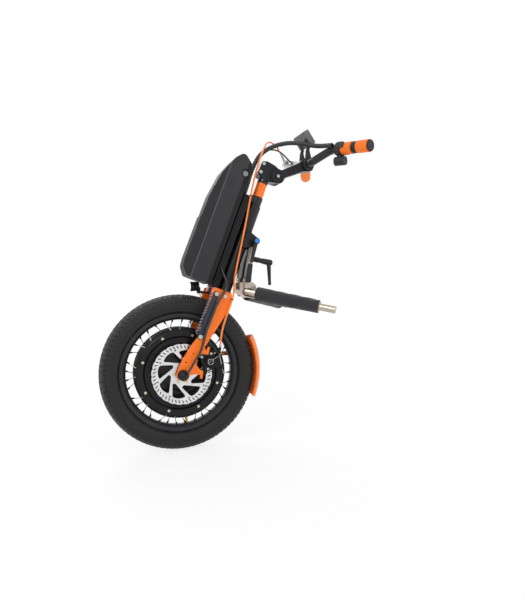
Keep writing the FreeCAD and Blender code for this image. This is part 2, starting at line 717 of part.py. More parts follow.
def make_braces():
    """The flat link on the outside of each blade, between the crown bolt and the blade bolt."""
    half = BRACE_WIDTH / 2
    foot = vec(0, *BRACE_FOOT)
    head = vec(0, *CROWN_BOLTS[0])
    inner = BLADE_FACE + 0.3
    way = (head - foot).normalize()
    across = vec(0, -way.z, way.y)
    corners = []
    for centre, along in ((head, 1), (foot, -1)):
        for sign in ((-1, 1) if along > 0 else (1, -1)):
            corner = centre + way * (along * half) + across * (sign * half)
            corners.append((corner.y, corner.z, half * 0.98))
    link = side_plate(corners, inner, inner + BRACE_THICKNESS)
    for centre in (head, foot):
        hole = Part.makeCylinder(3.1, BRACE_THICKNESS, vec(inner, centre.y, centre.z), X_AXIS)
        link = link.cut(hole)
    return Part.Compound([link, mirrored(link)])


def make_springs():
    """An extension spring along the front of each link, one unbroken coil."""
    start = vec(BLADE_FACE + 4.2, -46.8, 96.0)
    end = vec(BLADE_FACE + 4.2, -43.6, 212.0)
    way = end - start
    pitch = way.Length / SPRING_TURNS
    helix = Part.makeHelix(pitch, way.Length, SPRING_COIL_RADIUS)
    first = helix.Edges[0]
    tangent = first.tangentAt(first.FirstParameter)
    origin = first.valueAt(first.FirstParameter)
    section = Part.Wire([Part.Circle(origin, tangent, SPRING_WIRE / 2).toShape()])
    coil = helix.makePipeShell([section], True, True)
    coil.Placement = FreeCAD.Placement(start, FreeCAD.Rotation(Z_AXIS, way))
    print("spring pitch %.2f, gap between turns %.2f" % (pitch, pitch - SPRING_WIRE))
    return Part.Compound([coil, mirrored(coil)])


def blade_bolt(point, reach, head_radius):
    """A bolt through link, blade and crown at one side."""
    p, t = point
    face = BLADE_FACE + 0.3 + BRACE_THICKNESS
    head = button_screw(vec(face, p, t), X_AXIS, head_radius, 4.0)
    shank = rod(vec(face - reach, p, t), vec(face, p, t), 3.0)
    return head.fuse(shank)


def make_fork_bolts():
    group = []
    top = blade_bolt(CROWN_BOLTS[0], 4.3 + BLADE_THICKNESS + 7.0, 5.5)
    low = blade_bolt(BRACE_FOOT, 4.3 + BLADE_THICKNESS - 0.5, 5.5)
    p, t = CROWN_BOLTS[1]
    rear = button_screw(vec(BLADE_FACE, p, t), X_AXIS, 5.0, 3.0)
    rear = rear.fuse(rod(vec(BLADE_FACE - 12.0, p, t), vec(BLADE_FACE, p, t), 3.0))
    for bolt in (top, low, rear):
        group.append(bolt)
        group.append(mirrored(bolt))
    return Part.Compound(group)


def make_mudguard():
    """A trough behind the tyre: a thin arc section swept about the axle."""
    lip = math.radians(GUARD_LIP)
    inner = GUARD_SECTION - GUARD_WALL

    def on(radius, angle):
        return vec(radius * math.sin(angle), GUARD_CENTRE + radius * math.cos(angle), 0)

    outer_arc = Part.Arc(on(GUARD_SECTION, -lip), on(GUARD_SECTION, 0), on(GUARD_SECTION, lip))
    inner_arc = Part.Arc(on(inner, lip), on(inner, 0), on(inner, -lip))
    joins = [Part.LineSegment(on(GUARD_SECTION, lip), on(inner, lip)),
             Part.LineSegment(on(inner, -lip), on(GUARD_SECTION, -lip))]
    wire = Part.Wire([outer_arc.toShape(), joins[0].toShape(), inner_arc.toShape(),
                      joins[1].toShape()])
    guard = Part.Face(wire).revolve(vec(0, 0, 0), X_AXIS, GUARD_END - GUARD_START)
    guard.rotate(vec(0, 0, 0), X_AXIS, GUARD_START)
    return placed(guard, WHEEL)


def make_mudguard_stay():
    """The flat stay from the right blade, round the tyre's side, to the mudguard."""
    blade = -BLADE_FACE
    z = TYRE_RADIUS + 26.0
    side = -(GUARD_SECTION - GUARD_WALL) * math.sin(math.radians(GUARD_LIP)) - 1.0
    path = [(blade - 3.0, 20.0, 0), (blade, 20.0, 0), (blade, 150.0, 20.0), (side, 196.0, 12.0),
            (side, 232.0, 0), (side - 3.0, 232.0, 0), (side - 3.0, 197.0, 12.0),
            (blade - 3.0, 151.5, 20.0)]
    strip = top_plate(path, z, z + 12.0)
    return strip


def column_point(p, t, x=0.0):
    return COLUMN.multVec(vec(x, p, t))


def caliper_frame():
    """The brake caliper's own frame: Y points out from the axle through the pads."""
    return FreeCAD.Placement(vec(0, 0, TYRE_RADIUS), FreeCAD.Rotation(X_AXIS, 24.0))


def make_caliper():
    """A mechanical disc caliper: a two-part body round the disc, its adapter, pads and barrel."""
    rotor_mid = BOSS_REACH + ROTOR_THICKNESS / 2
    body = side_plate([(60.0, -24.0, 6.0), (96.0, -21.0, 12.0), (100.0, 4.0, 14.0),
                       (94.0, 24.0, 8.0), (66.0, 27.0, 6.0), (56.0, 6.0, 8.0)],
                      rotor_mid - 15.0, rotor_mid + 15.0)
    slot = side_plate([(40.0, -40.0, 0), (ROTOR_RADIUS + 3.0, -40.0, 0),
                       (ROTOR_RADIUS + 3.0, 40.0, 0), (40.0, 40.0, 0)],
                      rotor_mid - 4.0, rotor_mid + 4.0)
    drum = Part.makeCylinder(13.0, 8.0, vec(rotor_mid + 14.0, 78.0, 0), X_AXIS)
    body = body.fuse(drum).cut(slot)
    pads = []
    for sign in (1, -1):
        inner = rotor_mid + sign * (ROTOR_THICKNESS / 2 + 0.4)
        pads.append(side_plate([(60.0, -9.0, 2.0), (77.0, -9.0, 2.0), (77.0, 9.0, 2.0),
                                (60.0, 9.0, 2.0)], inner, inner + sign * 2.4))
    frame = caliper_frame()
    return placed(body, frame), [placed(pad, frame) for pad in pads]


def make_adapter():
    """The black adapter between the blade's two tabs and the caliper, inside the tabs."""
    face = FORK_SPACING / 2
    plate = side_plate([(-6.0, 70.0, 3.0), (3.0, 72.0, 3.0), (14.0, 62.0, 6.0), (22.0, 38.0, 8.0),
                        (18.0, 2.0, 5.0), (10.0, -8.0, 3.0), (3.0, -8.0, 3.0), (4.0, 14.0, 8.0),
                        (8.0, 36.0, 12.0), (2.0, 54.0, 4.0)], face - 5.0, face - 0.1)
    return placed(plate, COLUMN)


def make_brake_caliper():
    body, pads = make_caliper()
    adapter = make_adapter()
    body = body.cut(adapter).cut(placed(make_blade(True), COLUMN))
    barrel = rod(vec(CABLE_X, *BARREL_FOOT), vec(CABLE_X, *BARREL_TOP), 3.6)
    barrel = barrel.cut(rod(vec(CABLE_X, *BARREL_FOOT), vec(CABLE_X, *BARREL_TOP), 1.0))
    horn = rod(vec(CABLE_X, 92.0, 258.0), vec(CABLE_X, *BARREL_FOOT), 5.2)
    stub = rod(vec(56.0, 88.0, 252.0), vec(CABLE_X, 92.0, 258.0), 5.0)
    lug = horn.fuse(stub).cut(rod(vec(CABLE_X, 90.0, 250.0), vec(CABLE_X, *BARREL_TOP), 1.0))
    return Part.Compound([body, adapter, barrel, lug] + pads)


def brake_arm_pivot():
    return caliper_frame().multVec(vec(0, ARM_PIVOT_RADIUS, 0))


def make_brake_arm():
    """The caliper's actuating arm with the inner wire's clamp at its end."""
    pivot = brake_arm_pivot()
    low = BOSS_REACH + ROTOR_THICKNESS / 2 + 22.3
    end = vec(0, 103.0, 224.0)
    way = (end - pivot)
    way.x = 0
    length = way.Length
    frame = FreeCAD.Placement(vec(0, pivot.y, pivot.z), FreeCAD.Rotation(Y_AXIS, way))
    arm = side_plate([(-10.0, -9.5, 9.0), (8.0, -9.5, 6.0), (length + 4.0, -4.5, 4.0),
                      (length + 4.0, 4.5, 4.0), (8.0, 9.5, 6.0), (-10.0, 9.5, 9.0)], low, low + 3.4)
    bolt = Part.makeCylinder(4.4, 5.6, vec(low, 0, 0), X_AXIS)
    clamp = Part.makeCylinder(3.6, 5.4, vec(low, length - 1.0, 0), X_AXIS)
    return placed(arm.fuse(bolt).fuse(clamp), frame)


# Headlight


def make_headlight():
    """The lamp body with cooling ribs behind, the lens, and the bracket under it."""
    frame = FreeCAD.Placement(LIGHT_CENTRE, FreeCAD.Rotation(Z_AXIS, vec(0, 1, 0)))
    radius = LIGHT_RADIUS
    corners = [(0, 0, 0), (radius, 0, 0.6), (radius, 9.0, 0.6)]
    for index in range(3):
        at = 9.0 + 4.0 * index
        corners += [(radius - 2.0, at + 0.6, 0.3), (radius - 2.0, at + 1.8, 0.3),
                    (radius, at + 2.2, 0.3), (radius, at + 4.0, 0.3)]
    corners += [(radius - 2.5, 24.0, 1.0), (0, 24.0, 0)]
    body = turned_z(corners)
    lens = turned_z([(0, -0.2, 0), (radius - 1.2, -0.2, 0.3), (radius - 1.2, -4.0, 2.0),
                     (radius - 6.0, -9.0, 4.0), (0, -10.5, 0)])
    body = placed(body, frame)
    pivot = LIGHT_PIVOT
    ear = side_plate([(pivot.y - 5.0, pivot.z + 13.0, 1.0), (pivot.y + 5.0, pivot.z + 13.0, 1.0),
                      (pivot.y + 5.0, pivot.z - 4.5, 4.0), (pivot.y - 5.0, pivot.z - 4.5, 4.0)],
                     -3.0, 3.0)
    hole = rod(vec(-5.0, pivot.y, pivot.z), vec(5.0, pivot.y, pivot.z), 2.06)
    return body.fuse(ear).cut(hole).removeSplitter(), placed(lens, frame)


def make_headlight_bracket():
    """A bent strip from the crown's front face to the lamp's ear, with its two cheeks."""
    face = column_point(CROWN_FRONT, 220.0)
    pivot = LIGHT_PIVOT
    strip = side_plate([(pivot.y + 6.8, pivot.z + 3.0, 1.0), (pivot.y + 6.8, pivot.z - 2.0, 1.0),
                        (face.y - 6.0, pivot.z - 6.0, 2.0), (face.y + 2.0, pivot.z - 7.0, 0),
                        (face.y + 2.0, pivot.z, 0), (face.y - 6.0, pivot.z + 0.5, 2.0)], -7.0, 7.0)
    plate = placed(front_plate([(-14.0, 208.0, 3.0), (14.0, 208.0, 3.0), (14.0, 226.0, 3.0),
                                (-14.0, 226.0, 3.0)], CROWN_FRONT - 3.0, CROWN_FRONT), COLUMN)
    cheeks = []
    for sign in (1, -1):
        cheeks.append(side_plate([(pivot.y - 4.0, pivot.z + 3.5, 3.0),
                                  (pivot.y + 10.0, pivot.z + 3.0, 1.0),
                                  (pivot.y + 12.0, pivot.z - 4.0, 1.0),
                                  (pivot.y - 4.0, pivot.z - 3.5, 2.5)], sign * 3.3, sign * 5.8))
    shape = strip.cut(placed(Part.makeBox(80, 60, 60, vec(-40, CROWN_FRONT - 3.0, 190)), COLUMN))
    pin = rod(vec(-8.0, LIGHT_PIVOT.y, LIGHT_PIVOT.z), vec(8.0, LIGHT_PIVOT.y, LIGHT_PIVOT.z), 2.0)
    return Part.Compound([shape.multiFuse([plate] + cheeks).removeSplitter(), pin])


# Steering column
def make_head_tube():
    """The head tube with the two lugs that the tilt bolt passes through."""
    bore = HEAD_TUBE_RADIUS - HEAD_TUBE_WALL
    low = vec(0, 0, HEAD_TUBE_BOTTOM)
    high = vec(0, 0, HEAD_TUBE_TOP)
    tube = rod(low, high, HEAD_TUBE_RADIUS)
    pivot = COLUMN.inverse().multVec(tilt_pivot())
    inner = CHANNEL_HALF_WIDTH + SLIDE_GAP
    lugs = []
    for sign in (1, -1):
        plate = side_plate([(0.0, pivot.z - 26.0, 2.0), (12.0, pivot.z - 24.0, 6.0),
                            (pivot.y + LUG_RADIUS, pivot.z - LUG_RADIUS, LUG_RADIUS - 0.5),
                            (pivot.y + LUG_RADIUS, pivot.z + LUG_RADIUS, LUG_RADIUS - 0.5),
                            (12.0, pivot.z + 20.0, 6.0), (0.0, pivot.z + 24.0, 2.0)],
                           sign * inner, sign * (inner + LUG_WALL))
        neck = Part.makeBox(2.5 + inner + LUG_WALL - HEAD_TUBE_RADIUS, 12.0, 50.0,
                            vec(HEAD_TUBE_RADIUS - 2.5, 0.0, pivot.z - 26.0))
        if sign < 0:
            neck = mirrored(neck)
        lugs.append(plate.fuse(neck))
    bolt_hole = rod(vec(-60, pivot.y, pivot.z), vec(60, pivot.y, pivot.z), PIVOT_BOLT)
    shape = tube.multiFuse(lugs).cut(rod(low, high, bore)).cut(bolt_hole)
    return shape.removeSplitter()


def make_headset():
    """The two cups in the ends of the head tube and the bearing rings inside them."""
    bore = HEAD_TUBE_RADIUS - HEAD_TUBE_WALL
    race = STEERER_RADIUS + RUN_GAP
    low = HEAD_TUBE_BOTTOM
    high = HEAD_TUBE_TOP
    lower = turned_z([(race, low - CUP_HEIGHT, 0), (CUP_RADIUS, low - CUP_HEIGHT, 1.0),
                      (CUP_RADIUS, low, 0.5), (bore, low, 0), (bore, low + 9.0, 0.5),
                      (race, low + 9.0, 0)])
    upper = turned_z([(race, high - 9.0, 0), (bore, high - 9.0, 0.5), (bore, high, 0),
                      (CUP_RADIUS - 1.5, high, 0.5), (CUP_RADIUS - 1.5, high + CUP_HEIGHT, 1.0),
                      (race, high + CUP_HEIGHT, 0)])
    return [lower, upper]


def make_steerer():
    low = vec(0, 0, CROWN_TOP - CROWN_PLATE)
    high = vec(0, 0, STEERER_TOP)
    return ring(low, high, STEERER_RADIUS, STEERER_BORE)


def make_collars():
    """The clamp collar that holds the battery rail, the orange collar and the black ring."""
    start = HEAD_TUBE_TOP + CUP_HEIGHT + RUN_GAP
    race = STEERER_RADIUS
    clamp = turned_z([(race, start, 0), (COLLAR_RADIUS + 2.2, start, 1.0),
                      (COLLAR_RADIUS + 2.2, CLAMP_COLLAR_TOP, 1.0), (race, CLAMP_COLLAR_TOP, 0)])
    tongue = top_plate([(-15.0, CONTROLLER_BACK, 1.0), (15.0, CONTROLLER_BACK, 1.0),
                        (12.0, -5.0, 0), (-12.0, -5.0, 0)], CONTROLLER_TOP - 10.0,
                       CLAMP_COLLAR_TOP - 4.0)
    tongue = tongue.cut(rod(vec(0, 0, start - 5), vec(0, 0, CLAMP_COLLAR_TOP), race))
    clamp = clamp.fuse(tongue).removeSplitter()
    orange = turned_z([(race, CLAMP_COLLAR_TOP, 0), (COLLAR_RADIUS, CLAMP_COLLAR_TOP, 0.5),
                       (COLLAR_RADIUS, ORANGE_COLLAR_TOP, 0.5), (race, ORANGE_COLLAR_TOP, 0)])
    black = turned_z([(race, ORANGE_COLLAR_TOP, 0), (COLLAR_RADIUS + 0.4, ORANGE_COLLAR_TOP, 0.5),
                      (COLLAR_RADIUS + 0.4, BLACK_COLLAR_TOP, 0.5), (race, BLACK_COLLAR_TOP, 0)])
    return Part.Compound([clamp, orange, black])


def make_controller():
    """The motor controller's finned case, extruded along the column."""
    half = CONTROLLER_HALF_WIDTH
    front = CONTROLLER_FRONT
    back = CONTROLLER_BACK
    fin = 2.6
    right = [(half - 4.0, back, 1.0)]
    for index in range(4):
        at = back - 2.0 - index * 5.0
        right += [(half, at, 0.4), (half, at - 2.4, 0.4)]
        if index < 3:
            right += [(half - fin, at - 2.6, 0.3), (half - fin, at - 4.8, 0.3)]
    right.append((half - 4.0, front, 1.0))
    left = [(-x, p, r) for x, p, r in reversed(right)]
    return top_plate(right + left, CROWN_TOP + 0.2, CONTROLLER_TOP)


def make_battery_rail():
    """The battery's mounting rail on the controller's front, with turned-in edges."""
    half = RAIL_HALF_WIDTH
    front = BATTERY_BACK + 0.3
    back = CONTROLLER_FRONT
    plate = top_plate([(half, back, 0.5), (half, front, 0.5), (-half, front, 0.5),
                       (-half, back, 0.5)], BATTERY_BOTTOM + 20.0, CONTROLLER_TOP - 1.0)
    slot = top_plate([(6.0, back + 1, 0.5), (6.0, back - 2.5, 0.5), (-6.0, back - 2.5, 0.5),
                      (-6.0, back + 1, 0.5)], BATTERY_BOTTOM, BATTERY_TOP)
    return plate.cut(slot)


def battery_side(grow):
    """The battery's outline from the side, from the back bottom corner round the front."""
    front = BATTERY_FRONT - grow
    return [(BATTERY_BACK, BATTERY_BOTTOM, 4.0), (front + 18.0, BATTERY_BOTTOM, 10.0),
            (front, BATTERY_BOTTOM + 22.0, 20.0), (front - 2.0, BATTERY_BOTTOM + 45.0, 30.0),
            (front, BATTERY_TOP - 140.0, 60.0), (front + 11.0, BATTERY_TOP - 68.0, 60.0),
            (front + 30.0, BATTERY_TOP - 20.0, 30.0), (front + 49.0, BATTERY_TOP + 2.0, 12.0),
            (BATTERY_BACK - 8.0, BATTERY_TOP - 18.0, 8.0), (BATTERY_BACK, BATTERY_TOP - 34.0, 6.0)]


def battery_section(grow):
    """The battery's outline from above: square at the back, bevelled to a narrow front."""
    half = BATTERY_HALF_WIDTH + grow - BATTERY_STEP
    front = BATTERY_FRONT - 12.0 - grow
    right = [(half - 3.0, BATTERY_BACK, 3.0), (half, BATTERY_BACK - 8.0, 4.0),
             (half, BATTERY_BACK - 58.0, 10.0), (half - 13.0, front + 22.0, 8.0),
             (half - 24.0, front, 10.0)]
    return right + [(-x, p, r) for x, p, r in reversed(right)]


def battery_block(grow):
    side = side_plate(battery_side(grow), -80.0, 80.0)
    section = top_plate(battery_section(grow), BATTERY_BOTTOM - 5.0, BATTERY_TOP + 20.0)
    return side.common(section)


def make_battery():
    """The two halves of the battery's case and its key lock, in the column's frame."""
    box = Part.makeBox(200, 200, 400, vec(-100, -180, BATTERY_BOTTOM - 10.0))
    cut_low = Part.makeBox(200, 200, 400, vec(-100, -180, BATTERY_SEAM))
    cut_high = Part.makeBox(200, 200, 400, vec(-100, -180, BATTERY_SEAM - 400))
    lower = battery_block(BATTERY_STEP).common(box).cut(cut_low)
    upper = battery_block(0.0).cut(cut_high)
    face = BATTERY_HALF_WIDTH - BATTERY_STEP
    recess = side_plate([(LOCK_P - 12.0, LOCK_T + 8.0, 5.0), (LOCK_P - 2.0, LOCK_T + 14.0, 5.0),
                         (LOCK_P + 11.0, LOCK_T + 2.0, 4.0), (LOCK_P + 11.0, LOCK_T - 34.0, 3.0),
                         (LOCK_P - 12.0, LOCK_T - 8.0, 6.0)], face - 3.0, face + 4.0)
    barrel = Part.makeCylinder(7.3, 16.0, vec(face - 12.0, LOCK_P, LOCK_T), X_AXIS)
    upper = upper.cut(recess).cut(barrel)
    lock = Part.makeCylinder(7.0, 10.5, vec(face - 11.7, LOCK_P, LOCK_T), X_AXIS)
    keyway = Part.makeBox(2.0, 1.6, 8.0, vec(face - 3.0, LOCK_P - 0.8, LOCK_T - 4.0))
    return lower, upper, lock.cut(keyway)


# Stem
def make_stem_base():
    """The stem's foot: clamps the steerer in front and carries the pivot's block behind."""
    cradle = side_plate([(-22.0, 566.0, 3.0), (-26.0, 578.0, 3.0), (-24.0, 608.0, 4.0),
                         (-10.0, 613.0, 6.0), (14.0, 611.0, 12.0), (PIVOT_P + 8.0, 602.0, 8.0),
                         (PIVOT_P + 8.0, 568.0, 8.0), (12.0, 560.5, 8.0)], -17.0, 17.0)
    block = Part.makeCylinder(PIVOT_DISC - 2.5, 22.4, vec(-11.2, PIVOT_P, PIVOT_T), X_AXIS)
    room = PIVOT_DISC + 0.6
    shape = cradle
    for sign in (1, -1):
        start = vec(sign * 11.2, PIVOT_P, PIVOT_T)
        shape = shape.cut(rod(start, vec(sign * 30.0, PIVOT_P, PIVOT_T), room))
    shape = shape.fuse(block)
    bore = rod(vec(0, 0, 550), vec(0, 0, STEERER_TOP), STEERER_RADIUS)
    slit = Part.makeBox(2.0, 30.0, 70.0, vec(-1.0, -35.0, 555.0))
    pin = rod(vec(-40, PIVOT_P, PIVOT_T), vec(40, PIVOT_P, PIVOT_T), 4.1)
    shape = shape.cut(bore).cut(slit).cut(pin)
    for p, t in STEM_BOLTS:
        shape = shape.cut(rod(vec(-20, p, t), vec(20, p, t), 2.6))
    return shape.removeSplitter()


def make_stem_bolts():
    group = []
    for p, t in STEM_BOLTS:
        head = button_screw(vec(17.0, p, t), X_AXIS, 4.6, 4.0)
        group.append(head.fuse(rod(vec(-16.0, p, t), vec(17.0, p, t), 2.5)))
    return group


def make_stem_arm():
    """A fork-ended arm from the pivot's discs to the cradle that the handlebar lies in."""
    half = STEM_HALF_WIDTH
    beam = side_plate([(4.0, -10.0, 4.0), (STEM_REACH - 20.0, -13.5, 20.0),
                       (STEM_REACH - 0.4, -20.0, 1.0), (STEM_REACH - 0.4, 20.0, 1.0),
                       (STEM_REACH - 22.0, 13.0, 20.0), (4.0, 12.0, 4.0)], -half + 3, half - 3)
    beam = beam.common(top_plate([(-half, -2.0, 6.0), (half, -2.0, 6.0),
                                  (13.5, STEM_REACH * 0.45, 60.0), (half, STEM_REACH + 10, 2.0),
                                  (-half, STEM_REACH + 10, 2.0), (-13.5, STEM_REACH * 0.45, 60.0)],
                                 -30.0, 30.0))
    window = Part.makeBox(2 * 11.5, 2 * PIVOT_DISC + 6.0, 60.0,
                          vec(-11.5, -PIVOT_DISC - 3.0, -30.0))
    beam = beam.cut(window)
    discs = []
    for sign in (1, -1):
        discs.append(rod(vec(sign * 11.5, 0, 0), vec(sign * half, 0, 0), PIVOT_DISC))
    bar = rod(vec(-40, STEM_REACH, 0), vec(40, STEM_REACH, 0), BAR_CENTRE_RADIUS)
    pin = rod(vec(-40, 0, 0), vec(40, 0, 0), 4.1)
    shape = beam.multiFuse(discs).cut(bar).cut(pin)
    return placed(shape.removeSplitter(), STEM)


def make_bar_clamp():
    """The face plate that closes on the handlebar, its four bolts and the pivot's bolt."""
    half = STEM_HALF_WIDTH - 3
    reach = STEM_REACH
    radius = BAR_CENTRE_RADIUS + CLAMP_WALL
    cap = side_plate([(reach + 0.4, -20.0, 1.0), (reach + 7.0, -20.0, 3.0),
                      (reach + radius, -9.0, 8.0), (reach + radius, 9.0, 8.0),
                      (reach + 7.0, 20.0, 3.0), (reach + 0.4, 20.0, 1.0)], -half, half)
    cap = cap.cut(rod(vec(-40, reach, 0), vec(40, reach, 0), BAR_CENTRE_RADIUS))
    bolts = []
    for sign in (1, -1):
        for high in (1, -1):
            spot = vec(sign * 10.0, reach + 7.0, high * 16.5)
            bolts.append(button_screw(spot, Y_AXIS, 3.4, 3.6))
    face = STEM_HALF_WIDTH
    pivot = rod(vec(-face - 1.0, 0, 0), vec(face + 1.0, 0, 0), 4.0)
    for sign in (1, -1):
        cover = button_screw(vec(sign * face, 0, 0), X_AXIS * sign, 7.0, 3.4)
        pivot = pivot.fuse(cover)
    shapes = [cap] + bolts + [pivot]
    return Part.Compound([placed(shape, STEM) for shape in shapes])


def grip_frame():
    """The left grip's own frame: Z runs outwards along the handlebar's end."""
    start = GRIP_FOOT
    way = GRIP_TIP - start
    return FreeCAD.Placement(start, FreeCAD.Rotation(Z_AXIS, way))


def make_handlebar():
    """One bent tube from grip to grip, swaged thicker where the stem holds it."""
    middle = BAR_CENTRE
    right = [middle + vec(BAR_STRAIGHT, 0, 0), BAR_BEND, GRIP_TIP]
    left = [vec(-v.x, v.y, v.z) for v in reversed(right)]
    tube = swept(left + right, BAR_RADIUS, "handlebar", BAR_BEND_REACH)
    swage = placed(Part.makeCylinder(BAR_CENTRE_RADIUS, 52.0, vec(-26, 0, 0), X_AXIS),
                   FreeCAD.Placement(middle, FreeCAD.Rotation()))
    return tube.fuse(swage).removeSplitter()


def ribbed_sleeve(start, end, ribs):
    """A rubber grip sleeve with shallow rings round it, along Z."""
    inner = BAR_RADIUS
    corners = [(inner, start, 0), (GRIP_RADIUS - 0.6, start, 1.0)]
    pitch = (end - start - 4.0) / ribs
    for index in range(ribs):
        at = start + 2.0 + index * pitch
        corners += [(GRIP_RADIUS, at + pitch * 0.25, 0.4), (GRIP_RADIUS, at + pitch * 0.75, 0.4),
                    (GRIP_RADIUS - 0.9, at + pitch, 0.3)]
    corners += [(GRIP_RADIUS - 0.6, end, 0.4), (inner, end, 0)]
    return turned_z(corners)


def make_grip_left():
    """The fixed left grip with the black ring at its inner end and the cap at the outer."""
    sleeve = ribbed_sleeve(GRIP_START + 16.4, GRIP_END, 4)
    collar = turned_z([(BAR_RADIUS, GRIP_START + 0.4, 0), (GRIP_RADIUS - 0.3, GRIP_START + 0.4, 1),
                       (GRIP_RADIUS - 0.3, GRIP_START + 16.2, 1.0),
                       (BAR_RADIUS, GRIP_START + 16.2, 0)])
    shapes = [sleeve, collar, grip_cap()]
    return Part.Compound([placed(shape, grip_frame()) for shape in shapes])


def make_grip_right():
    shapes = [ribbed_sleeve(-14.0, GRIP_END, 9), grip_cap()]
    return Part.Compound([mirrored(placed(shape, grip_frame())) for shape in shapes])


def grip_cap():
    """The plug that closes the grip's outer end."""
    tip = (GRIP_TIP - GRIP_FOOT).Length
    cap = turned_z([(0, tip + 0.2, 0), (BAR_RADIUS, tip + 0.2, 0),
                    (GRIP_RADIUS - 0.8, GRIP_END + 0.3, 0), (GRIP_RADIUS - 0.4, GRIP_END + 2.5, 1.0),
                    (GRIP_RADIUS - 3.0, GRIP_END + 4.5, 1.5), (0, GRIP_END + 5.0, 0)])
    return cap


def make_throttle_sleeve():
    """The twist sleeve inboard of the fixed grip, running on the bar."""
    sleeve = ribbed_sleeve(SLEEVE_START, GRIP_START, 3)
    inner = BAR_RADIUS + 0.05
    bore = rod(vec(0, 0, SLEEVE_START - 1), vec(0, 0, GRIP_START + 1), inner)
    return placed(sleeve.cut(bore), grip_frame())


def make_throttle_housing():
    """The throttle's housing on the bar, its two lips over the sleeve, and the switch pod."""
    body = turned_z([(BAR_RADIUS, HOUSING_START, 0), (HOUSING_RADIUS - 4.0, HOUSING_START, 3.0),
                     (HOUSING_RADIUS, HOUSING_START + 7.0, 3.0), (HOUSING_RADIUS, 0.2, 1.5),
                     (BAR_RADIUS, 0.2, 0)])
    lips = []
    for sign in (1, -1):
        lip = front_plate([(-9.0, -1.0, 1.0), (9.0, -1.0, 1.0), (7.0, 14.0, 3.0),
                           (-7.0, 14.0, 3.0)], sign * (GRIP_RADIUS + 0.6),
                          sign * (HOUSING_RADIUS - 0.3))
        lips.append(lip)
    housing = placed(body.multiFuse(lips).removeSplitter(), grip_frame())
    foot = vec(112.0, 426.0, 767.0)
    tip = vec(137.0, 443.0, 765.0)
    way = (tip - foot).normalize()
    pod = rod(foot, tip, POD_RADIUS)
    neck = rod(foot + way * 9.5, vec(121.5, 436.0, 784.5), 7.5)
    housing = housing.fuse(neck).fuse(pod)
    well = rod(foot - way * 1.0, foot + way * 5.0, POD_RADIUS - 4.0)
    return housing.cut(well)


def make_horn_button():
    """The push button in the inboard face of the switch pod."""
    foot = vec(112.0, 426.0, 767.0)
    tip = vec(137.0, 443.0, 765.0)
    way = (tip - foot).normalize()
    return rod(foot - way * 1.5, foot + way * 3.0, POD_RADIUS - 4.3)


def display_frame():
    """The display's own frame: Y points at the rider and Z runs up its face."""
    return FreeCAD.Placement(DISPLAY_CENTRE, FreeCAD.Rotation(X_AXIS, DISPLAY_TILT))


def make_display():
    """The display's case with ribbed sides, and the screen let into its face."""
    half = DISPLAY_WIDTH / 2
    high = DISPLAY_HEIGHT / 2
    deep = DISPLAY_DEPTH / 2
    corners = [(half, high, 5.0), (-half, high, 5.0), (-half, -high, 5.0), (half, -high, 5.0)]
    case = front_plate(corners, -deep, deep)
    frame = front_plate([(x * 0.86, z * 0.78, 3.0) for x, z, r in corners], deep - 1.6, deep + 1)
    case = case.cut(frame)
    grooves = []
    for sign in (1, -1):
        for index in range(6):
            z = -high + 7.0 + index * (DISPLAY_HEIGHT - 14.0) / 5
            grooves.append(Part.makeBox(2.4, DISPLAY_DEPTH - 6.0, 1.6,
                                        vec(sign * half - 1.2, -deep + 3.0, z - 0.8)))
    case = case.cut(Part.Compound(grooves))
    screen = front_plate([(x * 0.858, z * 0.778, 3.0) for x, z, r in corners],
                         deep - 1.6, deep - 0.2)
    return placed(case, display_frame()), placed(screen, display_frame())


def make_display_bracket():
    """Two strips up from rings on the bar to the display's back."""
    group = []
    for sign in (1, -1):
        x = sign * 22.0
        bar = BAR_CENTRE
        loop = ring(vec(x - 3.6, bar.y, bar.z), vec(x + 3.6, bar.y, bar.z),
                    BAR_CENTRE_RADIUS + 4.0, BAR_CENTRE_RADIUS)
        strip = side_plate([(bar.y - 10.0, bar.z + 10.0, 1.0), (bar.y + 10.0, bar.z + 10.0, 1.0),
                            (bar.y + 3.0, bar.z + 40.0, 12.0), (394.0, 836.0, 1.0),
                            (383.0, 829.0, 1.0), (bar.y - 7.0, bar.z + 38.0, 12.0)],
                           x - 2.5, x + 2.5)
        pad = placed(Part.makeBox(12.0, 20.0, 26.0,
                                  vec(x - 6.0, -DISPLAY_DEPTH / 2 - 20.0, -16.0)), display_frame())
        back = placed(Part.makeBox(12.0, 3.0, 20.0,
                                   vec(x - 6.0, -DISPLAY_DEPTH / 2 - 3.0, -18.0)), display_frame())
        whole = placed(Part.makeBox(200.0, DISPLAY_DEPTH + 40, 80.0,
                                    vec(-100.0, -DISPLAY_DEPTH / 2, -40.0)), display_frame())
        bore = rod(vec(x - 8.0, bar.y, bar.z), vec(x + 8.0, bar.y, bar.z), BAR_CENTRE_RADIUS)
        group.append(loop.fuse(strip).fuse(back).cut(whole).cut(bore).removeSplitter())
    return Part.Compound(group)


# Right brake lever


